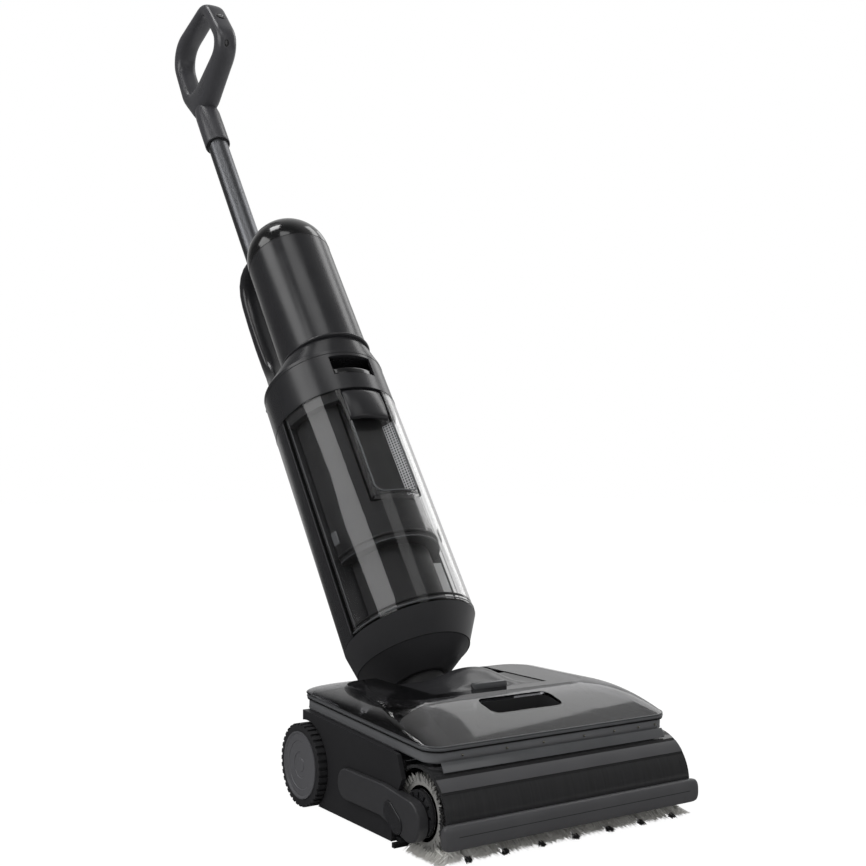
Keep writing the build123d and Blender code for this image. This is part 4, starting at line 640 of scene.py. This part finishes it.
# Plane of the cover's rim and its outline in that plane, in millimetres
RIM_FRONT = Vector((0.0, -45.0, 82.5))
RIM_TURN = math.atan2(12.6, 215.0)
RIM_PLANE = Matrix.Translation(RIM_FRONT * MM) @ Matrix.Rotation(RIM_TURN, 4, "X")
RIM_HALF = 128.5
RIM_LENGTH = 215.4
RIM_CORNER = 16.0
NOTCH_HALF = 62.0
# Round top of the roller's shroud: its axis, its radius and half its length
SHROUD_AXIS = Vector((0.0, -29.0, 31.0)) * MM
SHROUD_R = 40.05 * MM
SHROUD_HALF = 127.6 * MM
# Spray tips across the band's face, in millimetres
TIP_PLACES = (-96, -52, -14, 30, 64, 92, 112)


def arc(x, y, radius, first, last):
    """Give points on a corner's arc between two angles, in degrees."""
    turns = [math.radians(first + (last - first) * k / 10) for k in range(11)]
    return [(x + radius * math.cos(t), y + radius * math.sin(t)) for t in turns]


def rim_line(out, lift):
    """Give points round the cover's rim from one side of the column's notch to the other."""
    half, corner = RIM_HALF + out, RIM_CORNER + out
    centres = ((half - corner, RIM_LENGTH + out - corner, 90, 0), (half - corner, corner - out, 0, -90),
               (corner - half, corner - out, 270, 180), (corner - half, RIM_LENGTH + out - corner, 180, 90))
    points = [(NOTCH_HALF + 1.0, RIM_LENGTH + out, lift)]
    for x, y, first, last in centres:
        points += [(*spot, lift) for spot in arc(x, y, corner, first, last)]
    return points + [(-NOTCH_HALF - 1.0, RIM_LENGTH + out, lift)]


class SCRUBBER_OT_head_trims(bpy.types.Operator):
    """Add the cover's beads and gasket, the band's lip, the shroud's strips and the spray tips"""

    bl_idname = "scrubber.head_trims"
    bl_label = "Head trims"

    def execute(self, context):
        # The pale beads round the rim are painted highlight lines; the gasket between them is dark rubber
        for name, slot, finish, out, lift, radius in (
            ("cover_edge_bead", "smoke_clear", "edge_painted_highlight", -0.5, 3.9, 0.7),
            ("cover_rim_face", "smoke_clear", "edge_painted_highlight", -1.3, 2.0, 1.8),
            ("cover_gasket", "black_rubber", "nitrile", -1.0, -0.1, 0.9),
            ("band_edge_bead", "smoke_clear", "edge_painted_highlight", -2.2, -8.6, 0.5),
        ):
            wire(name, "head", finish, rim_line(out, lift), radius, place=RIM_PLANE)
        # Lip that carries the band's face down to the shroud, pale as a painted highlight
        bar("band_lip", "head", "edge_painted_highlight", (236.0, 1.0, 8.4), (0.0, -47.0, 70.9), 0.4,
            place=FLAT, turn=(math.radians(-27.3), 0.0, 0.0))
        for name, slot, finish, first, last, thick in (
            ("skirt_line", "black_rubber", "nitrile", 121.0, 125.5, 0.3),
            ("shroud_flange", "black_plastic", "flange_abs", 125.5, 142.0, 0.6),
            ("shroud_line", "black_rubber", "nitrile", 142.0, 144.5, 0.3),
        ):
            self.flange(context, name, slot, finish, first, last, thick)
        for number, x in enumerate(TIP_PLACES):
            start()
            bpy.ops.mesh.primitive_cylinder_add(vertices=16, radius=0.9 * MM, depth=1.6 * MM,
                                                location=(x * MM, -0.0432, 0.0778), rotation=(math.pi / 2, 0, 0))
            tip = context.object
            bpy.ops.object.mode_set(mode="EDIT")
            bpy.ops.mesh.select_all(action="SELECT")
            bpy.ops.mesh.bevel(offset=0.25 * MM, segments=2, affect="EDGES")
            finish_piece(tip, f"spray_tip_{number + 1}", "head", "plated_brass")
        return {"FINISHED"}

    def flange(self, context, name, slot, finish, first, last, thick):
        """Spin a strip along the shroud's round top, between two angles from the rear, in degrees."""
        start()
        bpy.ops.mesh.primitive_grid_add(x_subdivisions=1, y_subdivisions=1, size=1.0)
        strip = context.object
        bpy.ops.object.mode_set(mode="EDIT")
        choose(lambda c, n: True)
        bpy.ops.mesh.delete(type="VERT")
        mesh = bmesh.from_edit_mesh(strip.data)
        turn = math.radians(first)
        edge = SHROUD_AXIS + SHROUD_R * Vector((0.0, math.cos(turn), math.sin(turn)))
        ends = [mesh.verts.new((x, edge.y, edge.z)) for x in (-SHROUD_HALF, SHROUD_HALF)]
        mesh.edges.new(ends).select_set(True)
        bmesh.update_edit_mesh(strip.data)
        bpy.ops.mesh.spin(steps=10, angle=math.radians(first - last), center=SHROUD_AXIS, axis=(1, 0, 0))
        bpy.ops.mesh.select_all(action="SELECT")
        bpy.ops.mesh.remove_doubles(threshold=1e-6)
        mesh = bmesh.from_edit_mesh(strip.data)
        for face in mesh.faces:
            if face.normal.dot(face.calc_center_median() - SHROUD_AXIS) < 0:
                face.normal_flip()
        bmesh.update_edit_mesh(strip.data)
        bpy.ops.object.mode_set(mode="OBJECT")
        wall = strip.modifiers.new("wall", "SOLIDIFY")
        wall.thickness = thick * MM
        wall.offset = 1.0
        bpy.ops.object.modifier_apply(modifier=wall.name)
        finish_piece(strip, name, "head", finish, FLAT, 40)


class SCRUBBER_OT_bumper(bpy.types.Operator):
    """Model the bumper strip with its rounded ends and its mould line"""

    bl_idname = "scrubber.bumper"
    bl_label = "Bumper strip"

    def execute(self, context):
        low, high = (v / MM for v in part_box("front_bumper"))
        middle = (low.z + high.z) / 2 + 2.0
        tall = (high.z - low.z) / 2 + 2.0
        # How its section grows from an end: distance from the end, share of the whole section
        ends = ((0.0, 0.3), (0.25, 0.52), (0.9, 0.72), (2.2, 0.88), (4.5, 0.97), (8.0, 1.0))
        places = [(low.x + step, share) for step, share in ends]
        places += [(high.x - step, share) for step, share in reversed(ends)]
        rings = [oval((x, low.y + 5.3, middle), (0, 1, 0), (0, 0, 1), 5.1 * share, tall * (0.25 + 0.75 * share),
                      2.6, 36) for x, share in places]
        strip = loft("bumper_strip", "head", "bumper_rubber", rings, place=FLAT)
        # The mould line along its face
        wire("bumper_line", "head", "nitrile",
             [(x, low.y + 0.62, middle + 1.0) for x in (low.x + 12.0, 0.0, high.x - 12.0)], 0.5, place=FLAT)
        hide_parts("front_bumper")
        return {"FINISHED"}


class SCRUBBER_OT_wheels(bpy.types.Operator):
    """Model the wheel discs with their stepped rings and hub caps"""

    bl_idname = "scrubber.wheels"
    bl_label = "Wheel discs"

    def execute(self, context):
        for side, name in SIDES:
            low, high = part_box(f"wheel_{name}")
            radius = (high.z - low.z) / 2
            start()
            bpy.ops.mesh.primitive_cylinder_add(vertices=96, radius=radius, depth=high.x - low.x,
                                                location=(low + high) / 2, rotation=(0, math.pi / 2, 0))
            disc = context.object
            bpy.ops.object.transform_apply(location=True, rotation=True, scale=True)
            bpy.ops.object.mode_set(mode="EDIT")
            choose(lambda c, n: n.x * side > 0.9)
            # Each step: ring width, then how far the face inside it goes in
            for width, step in ((1.2, 0.0), (1.4, 1.1), (5.5, 0.0), (0.5, 0.5), (9.5, -0.25), (0.4, 0.6), (5.2, 0.0),
                                (0.5, -0.7)):
                bpy.ops.mesh.inset(thickness=width * MM, depth=-step * MM)
            bpy.ops.object.mode_set(mode="OBJECT")
            finish_piece(disc, f"wheel_disc_{name}", f"{name}_wheel", "disc_nylon", FLAT, 25)
            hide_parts(f"wheel_{name}")
        return {"FINISHED"}


# Perforated filter sheet: cells, size in millimetres, middle in the column frame, cosine and sine of its turn
FILTER_CELLS = (4, 27)
FILTER_SIZE = (11.5, 86.4)
FILTER_MIDDLE = Vector((20.8, -67.9, 246.5)) * MM
FILTER_TURN = (0.635, 0.774)


class SCRUBBER_OT_tank_trims(bpy.types.Operator):
    """Add the tank's rails, clips, grip rim, rings, filter sheet and sight panel"""

    bl_idname = "scrubber.tank_trims"
    bl_label = "Tank trims"

    def execute(self, context):
        # Rails, clips, the grip's rim and the thin rings in the pale edge finish are painted highlight lines
        for side, name in SIDES:
            wire(f"tank_rail_{name}", "tank", "edge_painted_highlight",
                 [(side * 66.9, -23.0, s) for s in (78.0, 200.0, 326.0)], 0.45)
            wire(f"housing_rail_{name}", "column", "satin_abs",
                 [(side * 67.9, -13.6, s) for s in (76.0, 200.0, 329.0)], 0.6)
            bar(f"tank_clip_{name}", "tank", "edge_painted_highlight", (2.4, 7.0, 15.0),
                (side * 63.6, -34.0, 172.0), 0.8, turn=(0.0, 0.0, side * math.radians(-22)))
        # Rim of the grip's pocket: across, along the column
        rim = [(-24.6, 290.0), (-24.6, 250.0), (-24.6, 212.0)] + arc(-14.6, 210.5, 10, 180, 270)
        rim += [(-7.0, 200.4), (0.0, 200.3), (7.0, 200.4)] + arc(14.6, 210.5, 10, 270, 360)
        rim += [(24.6, 212.0), (24.6, 250.0), (24.6, 290.0)]
        skin = BODY_R - 0.3
        wire("grip_rim", "tank", "edge_painted_highlight",
             [(x, BODY_BACK - math.sqrt(skin ** 2 - x * x), s) for x, s in rim], 0.9)
        for name, slot, finish, radius, along, half, thick in (
            ("tank_foot_ring", "smoke_clear", "edge_painted_highlight", skin, 75.5, 84, 0.8),
            ("tank_foot_seal", "black_rubber", "nitrile", BODY_R - 1.6, 80.0, 82, 1.4),
            ("filter_ring", "grey_plastic", "edge_painted_highlight", BASKET_R + 0.6, 151.5, 80, 0.8),
            ("filter_ring_low", "black_plastic", "inner_abs", BASKET_R + 0.8, 158.0, 80, 1.6),
        ):
            wire(name, "tank", finish, ring_arc(radius, BODY_BACK, along, -half, half), thick)
        # The filter sheet slants across the right corner of the grip's pocket: its holes are the dark inset faces
        start()
        bpy.ops.mesh.primitive_grid_add(x_subdivisions=FILTER_CELLS[0], y_subdivisions=FILTER_CELLS[1], size=1.0)
        strip = context.object
        strip.scale = (FILTER_SIZE[0] * MM, FILTER_SIZE[1] * MM, 1.0)
        bpy.ops.object.transform_apply(location=False, rotation=False, scale=True)
        for finish in ("mesh_grey", "inner_abs"):
            strip.data.materials.append(FINISHES[finish])
        bpy.ops.object.mode_set(mode="EDIT")
        bpy.ops.mesh.select_all(action="SELECT")
        bpy.ops.mesh.extrude_region_move(TRANSFORM_OT_translate={"value": (0.0, 0.0, 0.4 * MM)})
        bpy.ops.mesh.inset(thickness=0.68 * MM, use_individual=True)
        strip.active_material_index = 1
        bpy.ops.object.material_slot_assign()
        bpy.ops.mesh.select_all(action="SELECT")
        bpy.ops.mesh.normals_make_consistent(inside=False)
        bpy.ops.object.mode_set(mode="OBJECT")
        cosine, sine = FILTER_TURN
        for vertex in strip.data.vertices:
            x, y, z = vertex.co
            vertex.co = FILTER_MIDDLE + Vector((cosine * x - sine * z, -sine * x - cosine * z, y))
        finish_piece(strip, "filter_strip", "tank", None, COLUMN, 30)
        # Pale sight panel low on the tank's rear wall, to the right of the intake duct
        bar("sight_panel", "tank", "sight_pc", (20.0, 0.7, 62.0), (51.6, -18.4, 116.0), 0.25)
        return {"FINISHED"}


class SCRUBBER_OT_latch(bpy.types.Operator):
    """Model the tank latch as a crowned pad"""

    bl_idname = "scrubber.latch"
    bl_label = "Tank latch"

    def execute(self, context):
        latch = pad("latch_pad", "latch", "satin_abs", (49.2, 6.4, 37.0), 312.6, BODY_R - 1.2, BODY_BACK,
                    3.2, crown=1.2)
        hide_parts("tank_latch")
        return {"FINISHED"}


class SCRUBBER_OT_collar_trims(bpy.types.Operator):
    """Add the seams, rings and slot bar of the collar, cup and upper body"""

    bl_idname = "scrubber.collar_trims"
    bl_label = "Collar trims"

    def execute(self, context):
        pad("slot_bar", "column", "gloss_abs", (47.0, 8.0, 9.0), 357.2, BODY_R - 2.5, BODY_BACK, 2.0,
            cuts=7)
        for name, radius, along, half, thick in (("collar_seam", BODY_R - 0.15, 380.0, 112, 0.45),
                                                 ("collar_foot_seam", BODY_R - 0.2, 332.2, 150, 0.5)):
            wire(name, "column", "nitrile", ring_arc(radius, BODY_BACK, along, -half, half, 96), thick)
        bead("upper_lip_ring", "column", "satin_abs", UPPER_R + 0.4, 1.8, (0.0, UPPER_BACK, 404.0))
        bead("dome_seam", "column", "nitrile", UPPER_R - 0.2, 0.45, (0.0, UPPER_BACK, 556.2))
        bead("cup_crease", "column", "nitrile", 58.1, 0.5, (0.0, -1.0, 48.0))
        return {"FINISHED"}


class SCRUBBER_OT_back_trims(bpy.types.Operator):
    """Add the vents, battery door and contacts of the back housing"""

    bl_idname = "scrubber.back_trims"
    bl_label = "Back trims"

    def execute(self, context):
        for row in range(9):
            wire(f"vent_rib_{row + 1}", "column", "satin_abs",
                 ring_arc(BODY_R - 0.2, BODY_BACK, 256.0 + 6.0 * row, 150, 210, 24), 1.1)
        door = ring_arc(BODY_R - 0.1, BODY_BACK, 112.0, 148, 212, 28)
        door += ring_arc(BODY_R - 0.1, BODY_BACK, 236.0, 212, 148, 28)
        wire("battery_door_seam", "column", "nitrile", door, 0.5, closed=True)
        for side, name in SIDES:
            bar(f"charge_contact_{name}", "column", "plated_brass", (6.0, 1.2, 12.0),
                (side * 13.0, 56.6, 61.0), 0.5)
        return {"FINISHED"}


# Sections round the grip loop
GRIP_RINGS = 96


class SCRUBBER_OT_handle_trims(bpy.types.Operator):
    """Model the grip loop with its sleeve, and add its ring, its window and the power button's plain marks"""

    bl_idname = "scrubber.handle_trims"
    bl_label = "Grip loop"

    def execute(self, context):
        # Outline and opening of the loop: rearward, along the column, corner radius
        outer = rounded(((50, 893, 11), (63, 945, 34), (56, 1044, 34), (-67, 1003, 34), (-79, 905, 34),
                         (16.5, 888, 11)))
        inner = rounded(((44, 936, 14), (43, 1016, 24), (-51, 994, 16), (-57, 921, 16)))
        centre = Vector((-8.0, 968.0))
        wide = context.scene.scrubber_sizes.grip_half / MM
        rings = []
        for k in range(GRIP_RINGS):
            turn = 2 * math.pi * k / GRIP_RINGS
            edge, hole = reach(outer, centre, turn), reach(inner, centre, turn)
            middle, half = (edge + hole) / 2, (edge - hole) / 2
            toward = half.normalized()
            rings.append(oval((0.0, middle.x, middle.y), (1, 0, 0), (0.0, toward.x, toward.y), wide, half.length,
                              3.2, 28))
        grip = loft("grip_loop", "column", "grip_abs", rings + rings[:1], closed=True)
        self.pocket(context, grip, "power_button", (0.0, 0.7375, -0.6753))
        self.pocket(context, grip, "mode_button", (0.0, -0.2935, -0.9560))
        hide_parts("handle_left", "handle_right")
        # Sleeve over the tube: along the column, radius
        sleeve = ((827.6, 14.2), (827.6, 15.6), (828.4, 16.3), (830.0, 16.5), (860.0, 16.5), (884.0, 16.4),
                  (898.0, 14.6))
        loft("grip_sleeve", "column", "grip_abs",
             [oval((0.0, TUBE_BACK, s), (1, 0, 0), (0, 1, 0), r, r, 2.0, 48) for s, r in sleeve])
        bead("sleeve_ring", "column", "nitrile", 14.6, 1.4, (0.0, TUBE_BACK, 828.6))
        # Dark oval window low on the front bar, and the plain ring and tick of the power button
        spot = reach(outer, centre, math.radians(223.2))
        out = (spot - centre).normalized()
        rings = [oval((-3.0, spot.x + out.x * lift, spot.y + out.y * lift), (1, 0, 0), (0.0, -out.y, out.x),
                      3.0 * share, 4.6 * share, 2.0)
                 for lift, share in ((-1.5, 1.0), (0.25, 1.0), (0.45, 0.88), (0.5, 0.5))]
        loft("grip_window", "column", "gloss_abs", rings)
        face = math.radians(83.0)
        bead("power_ring", "power", "pale_ink", 2.7, 0.28, (0.0, -72.66, 963.9), tip=face, sides=6)
        bar("power_tick", "power", "pale_ink", (0.55, 2.4, 0.4), (0.0, -72.4, 966.3), 0.12,
            turn=(face, 0.0, 0.0))
        return {"FINISHED"}

    def pocket(self, context, grip, button, inward):
        """Cut the pocket of a push button into the loop."""
        low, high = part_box(button)
        start()
        bpy.ops.mesh.primitive_cylinder_add(vertices=48, radius=5.8 * MM, depth=12.0 * MM, location=(low + high) / 2,
                                            rotation=Vector(inward).to_track_quat("Z", "Y").to_euler())
        tool = context.object
        bpy.ops.object.select_all(action="DESELECT")
        grip.select_set(True)
        context.view_layer.objects.active = grip
        cut = grip.modifiers.new("pocket", "BOOLEAN")
        cut.operation = "DIFFERENCE"
        cut.object = tool
        bpy.ops.object.modifier_apply(modifier=cut.name)
        bpy.data.objects.remove(tool)


class SCRUBBER_OT_carry_strap(bpy.types.Operator):
    """Model the carry handle that bows from the collar's shoulder to the tube"""

    bl_idname = "scrubber.carry_strap"
    bl_label = "Carry handle"

    def execute(self, context):
        # Rearward, along the column, half width, half thickness
        stations = ((32.0, 385.0, 53.0, 12.4), (34.5, 394.0, 50.0, 12.8), (39.5, 410.0, 42.0, 13.2),
                    (47.5, 428.0, 31.5, 13.0), (56.5, 446.0, 23.5, 12.0), (63.5, 462.0, 19.0, 10.6),
                    (68.0, 480.0, 17.2, 9.6), (70.2, 510.0, 16.9, 8.8), (70.4, 545.0, 16.9, 8.4),
                    (69.2, 576.0, 16.9, 8.2), (66.6, 591.0, 16.9, 8.2), (61.6, 601.5, 16.9, 8.0),
                    (54.0, 608.0, 16.9, 7.8), (44.0, 610.4, 16.9, 7.4), (32.0, 609.0, 16.9, 7.0),
                    (19.0, 604.5, 15.8, 6.6))
        rings = []
        for k, (back, along, wide, deep) in enumerate(stations):
            before, after = stations[max(k - 1, 0)], stations[min(k + 1, len(stations) - 1)]
            run = Vector((after[0] - before[0], after[1] - before[1])).normalized() if k else Vector((0.0, 1.0))
            rings.append(oval((0.0, back, along), (1, 0, 0), (0.0, run.y, -run.x), wide, deep, count=32))
        strap = loft("carry_strap", "column", "satin_abs", rings)
        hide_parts("carry_handle")
        return {"FINISHED"}


class SCRUBBER_OT_neck_hump(bpy.types.Operator):
    """Model the smooth hump in front of the column's neck, and the cover's press bar in it"""

    bl_idname = "scrubber.neck_hump"
    bl_label = "Neck hump"

    def execute(self, context):
        low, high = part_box("neck_fairing")
        start()
        bpy.ops.mesh.primitive_grid_add(x_subdivisions=82, y_subdivisions=62, size=1.0,
                                        location=((low.x + high.x) / 2, (low.y + high.y) / 2, 0.0))
        hump = context.object
        hump.scale = (high.x - low.x, high.y - low.y, 1.0)
        bpy.ops.object.transform_apply(location=True, rotation=True, scale=True)
        # Height of the middle line over the head, front to rear
        line = ((48, 107.4), (50, 107.8), (56, 112.4), (62, 115.2), (70, 118.8), (76, 120.8), (82, 121.8), (86, 121.2),
                (92, 118.2), (98, 113.6), (104, 109.6), (112, 107.4))
        foot = line[0][1]
        for vertex in hump.data.vertices:
            x, y = vertex.co.x / MM, vertex.co.y / MM
            y = min(max(y, line[0][0]), line[-1][0])
            top = next(z0 + (z1 - z0) * (y - y0) / (y1 - y0)
                       for (y0, z0), (y1, z1) in zip(line, line[1:]) if y <= y1)
            # The hump falls off more slowly on its left
            side = min(abs(x) / (54.0 if x < 0 else 46.0), 1.0)
            vertex.co.z = (foot + (top - foot) * (1 - side ** 2.3) ** 1.7) * MM
        bpy.ops.object.mode_set(mode="EDIT")
        bpy.ops.mesh.select_all(action="SELECT")
        bpy.ops.mesh.vertices_smooth(factor=0.5, repeat=4)
        # Leave the place of the press bar open, then turn every edge down as a skirt
        choose(lambda c, n: abs(c.x) < 18.6 * MM and c.y < 56.3 * MM)
        bpy.ops.mesh.delete(type="FACE")
        mesh = bmesh.from_edit_mesh(hump.data)
        for edge in mesh.edges:
            edge.select_set(edge.is_boundary)
        bmesh.update_edit_mesh(hump.data)
        bpy.ops.mesh.extrude_edges_move()
        mesh = bmesh.from_edit_mesh(hump.data)
        for vertex in mesh.verts:
            if vertex.select:
                vertex.co.z = 96.0 * MM
        bmesh.update_edit_mesh(hump.data)
        bpy.ops.mesh.select_all(action="SELECT")
        bpy.ops.mesh.normals_make_consistent(inside=False)
        bpy.ops.object.mode_set(mode="OBJECT")
        wall = hump.modifiers.new("wall", "SOLIDIFY")
        wall.thickness = 1.2 * MM
        bpy.ops.object.modifier_apply(modifier=wall.name)
        finish_piece(hump, "neck_hump", "head", "satin_abs", FLAT, 50)
        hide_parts("neck_fairing")
        # The press bar takes the pale edge finish: its pale tone is a painted highlight
        press = bar("press_bar", "cover_press", "edge_painted_highlight", (36.0, 6.6, 8.4),
                    (0.0, 52.2, 108.6), 1.2, place=FLAT)
        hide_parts("cover_release")
        return {"FINISHED"}


WHITE = (1.0, 1.0, 1.0, 1.0)
# The photograph's view: place in metres, azimuth from +Y towards +X and pitch in degrees, lens and sensor in mm
VIEW_PLACE = (-0.6608, -0.8511, 0.3073)
VIEW_ANGLES = (33.595, 1.506)
VIEW_LENS = 51.32
VIEW_SENSOR = 36.0
# Light of the world on matt surfaces
WORLD_LEVEL = 0.42


def seen_plainly(tree, path):
    """Give 1 where the camera sees the background itself or through clear pieces, before any bounce."""
    straight = add(tree, "ShaderNodeMath",
                   {0: path.outputs["Is Camera Ray"], 1: path.outputs["Is Transmission Ray"]}, operation="MAXIMUM")
    bounced = add(tree, "ShaderNodeMath",
                  {0: path.outputs["Diffuse Depth"], 1: path.outputs["Glossy Depth"]}, operation="ADD")
    direct = add(tree, "ShaderNodeMath", {0: bounced.outputs[0]}, {1: 0.5}, operation="LESS_THAN")
    return add(tree, "ShaderNodeMath", {0: straight.outputs[0], 1: direct.outputs[0]}, operation="MULTIPLY").outputs[0]


def side_ramp(tree, place, way, first, last, low, high):
    """Give a soft ramp of light from one side to the other along a direction."""
    side = add(tree, "ShaderNodeVectorMath", {0: place}, {1: way}, operation="DOT_PRODUCT")
    return add(tree, "ShaderNodeMapRange", {"Value": side.outputs["Value"]},
               {"From Min": first, "From Max": last, "To Min": low, "To Max": high},
               interpolation_type="SMOOTHSTEP").outputs["Result"]


class SCRUBBER_OT_stage(bpy.types.Operator):
    """Build the floor, the lamps, the world and the camera"""

    bl_idname = "scrubber.stage"
    bl_label = "Studio"

    def execute(self, context):
        scene = context.scene
        level = scene.scrubber_sizes.light_level
        scene.view_settings.view_transform = "Standard"
        start()
        bpy.ops.mesh.primitive_plane_add(size=14.0, location=(0.0, 2.0, 0.0))
        floor = context.object
        floor.name = "studio_floor"
        # Painted floor: white to the eye, with the object's shadow, and darker to the left in polished pieces
        made, tree, out, place = blank("pale_floor")
        path = add(tree, "ShaderNodeLightPath")
        share = add(tree, "ShaderNodeMath", {0: seen_plainly(tree, path)}, {1: 0.92}, operation="MULTIPLY")
        matt = add(tree, "ShaderNodeBsdfDiffuse", (), {"Color": linear("#f4f4f4")})
        glow = add(tree, "ShaderNodeEmission", (), {"Color": WHITE, "Strength": 1.07})
        mixed = add(tree, "ShaderNodeMixShader", {0: share.outputs[0], 1: matt.outputs[0], 2: glow.outputs[0]})
        ramp = side_ramp(tree, place, (0.97, 0.24, 0.0), -0.3, 0.5, 0.05, 0.7)
        mirrored = add(tree, "ShaderNodeEmission", {"Strength": ramp}, {"Color": WHITE})
        mixed = add(tree, "ShaderNodeMixShader",
                    {0: path.outputs["Is Glossy Ray"], 1: mixed.outputs[0], 2: mirrored.outputs[0]})
        tree.links.new(mixed.outputs[0], out.inputs["Surface"])
        floor.data.materials.append(made)

        world = bpy.data.worlds.new("studio_world")
        scene.world = world
        world.use_nodes = True
        tree = world.node_tree
        tree.nodes.clear()
        out = tree.nodes.new("ShaderNodeOutputWorld")
        path = add(tree, "ShaderNodeLightPath")
        place = add(tree, "ShaderNodeTexCoord").outputs["Generated"]
        # A bright side to the right and rear, a dark side to the left, as polished pieces show them
        ramp = side_ramp(tree, place, (0.80, 0.55, 0.22), 0.15, 1.0, 0.06, 0.6)
        shine = add(tree, "ShaderNodeMixRGB", {"Fac": path.outputs["Is Glossy Ray"], "Color2": ramp},
                    {"Color1": (WORLD_LEVEL * level,) * 3 + (1.0,)})
        shown = add(tree, "ShaderNodeMixRGB", {"Fac": seen_plainly(tree, path), "Color1": shine.outputs["Color"]},
                    {"Color2": WHITE})
        back = add(tree, "ShaderNodeBackground", {"Color": shown.outputs["Color"]}, {"Strength": 1.0})
        tree.links.new(back.outputs[0], out.inputs["Surface"])

        # Soft boxes, each by its middle, the point it faces, the way its long side runs, its size and its radiance
        left_run, low_run, right_run = (0.236, 0.967, 0.093), (-0.016, -0.933, -0.362), (0.0, 0.58, 0.81)
        low_place, low_aim = (0.174, -0.783, 1.971), (0.358, -0.066, 0.113)
        for name, place, aim, run, size, glow in (
            ("left_box", (-1.383, 0.965, 1.605), (0.128, 0.720, 0.318), left_run, (0.55, 1.15), 2.5),
            ("left_low_box", (-1.600, -0.062, 1.546), (-0.089, -0.307, 0.259), left_run, (1.05, 0.95), 2.5),
            ("top_strip", (-0.491, -0.054, 2.186), (-0.306, 0.663, 0.328), (-0.755, 0.633, 0.169), (0.46, 0.90), 2.0),
            ("low_strip", low_place, low_aim, low_run, (0.62, 0.90), 0.7),
            ("low_strip_core", low_place, low_aim, low_run, (0.34, 0.90), 0.7),
            ("right_box", (1.42, 0.58, 1.74), (0.0, 0.30, 0.42), right_run, (0.50, 1.3), 2.3),
            ("right_low_box", (1.62, 1.10, 0.95), (0.0, 0.30, 0.42), right_run, (0.45, 1.5), 1.0),
            ("dome_window", (-0.46, 1.13, 2.22), (0.0, 0.33, 0.42), right_run, (0.5, 0.5), 6.0),
            ("front_fill", (0.39, -2.10, 1.28), (0.0, 0.33, 0.42), right_run, (1.6, 1.0), 0.9),
        ):
            lamp = bpy.data.lights.new(name, "AREA")
            lamp.shape = "RECTANGLE"
            lamp.size, lamp.size_y = size
            lamp.energy = glow * math.pi * size[0] * size[1] * level
            holder = bpy.data.objects.new(name, lamp)
            scene.collection.objects.link(holder)
            toward = (Vector(place) - Vector(aim)).normalized()
            along = (Vector(run) - Vector(run).dot(toward) * toward).normalized()
            turn = Matrix((along.cross(toward), along, toward)).transposed()
            holder.matrix_world = Matrix.Translation(place) @ turn.to_4x4()

        lens = bpy.data.cameras.new("front_left_view")
        camera = bpy.data.objects.new("front_left_view", lens)
        scene.collection.objects.link(camera)
        azimuth, pitch = (math.radians(angle) for angle in VIEW_ANGLES)
        look = Vector((math.sin(azimuth) * math.cos(pitch), math.cos(azimuth) * math.cos(pitch), math.sin(pitch)))
        camera.location = VIEW_PLACE
        camera.rotation_euler = look.to_track_quat("-Z", "Y").to_euler()
        lens.sensor_width = VIEW_SENSOR
        lens.lens = VIEW_LENS
        scene.camera = camera
        return {"FINISHED"}


class SCRUBBER_PT_panel(bpy.types.Panel):
    """The scrubber's pieces in the 3D view's sidebar"""

    bl_idname = "SCRUBBER_PT_panel"
    bl_label = "Floor scrubber"
    bl_space_type = "VIEW_3D"
    bl_region_type = "UI"
    bl_category = "Scrubber"

    def draw(self, context):
        sizes = context.scene.scrubber_sizes
        for name in ScrubberSizes.__annotations__:
            self.layout.prop(sizes, name)
        for step in STEPS:
            self.layout.operator(step.bl_idname)


STEPS = (SCRUBBER_OT_finishes, SCRUBBER_OT_pile, SCRUBBER_OT_head_trims, SCRUBBER_OT_bumper, SCRUBBER_OT_wheels,
         SCRUBBER_OT_tank_trims, SCRUBBER_OT_latch, SCRUBBER_OT_collar_trims, SCRUBBER_OT_back_trims,
         SCRUBBER_OT_handle_trims, SCRUBBER_OT_carry_strap, SCRUBBER_OT_neck_hump, SCRUBBER_OT_stage)
CLASSES = (ScrubberSizes,) + STEPS + (SCRUBBER_PT_panel,)


def register():
    """Register the classes and the sizes."""
    for item in CLASSES:
        bpy.utils.register_class(item)
    bpy.types.Scene.scrubber_sizes = bpy.props.PointerProperty(type=ScrubberSizes)


def unregister():
    """Remove the sizes and the classes."""
    del bpy.types.Scene.scrubber_sizes
    for item in reversed(CLASSES):
        bpy.utils.unregister_class(item)


def main():
    """Build everything in order."""
    register()
    for step in STEPS:
        group, name = step.bl_idname.split(".")
        getattr(getattr(bpy.ops, group), name)()


if __name__ == "__main__":
    main()
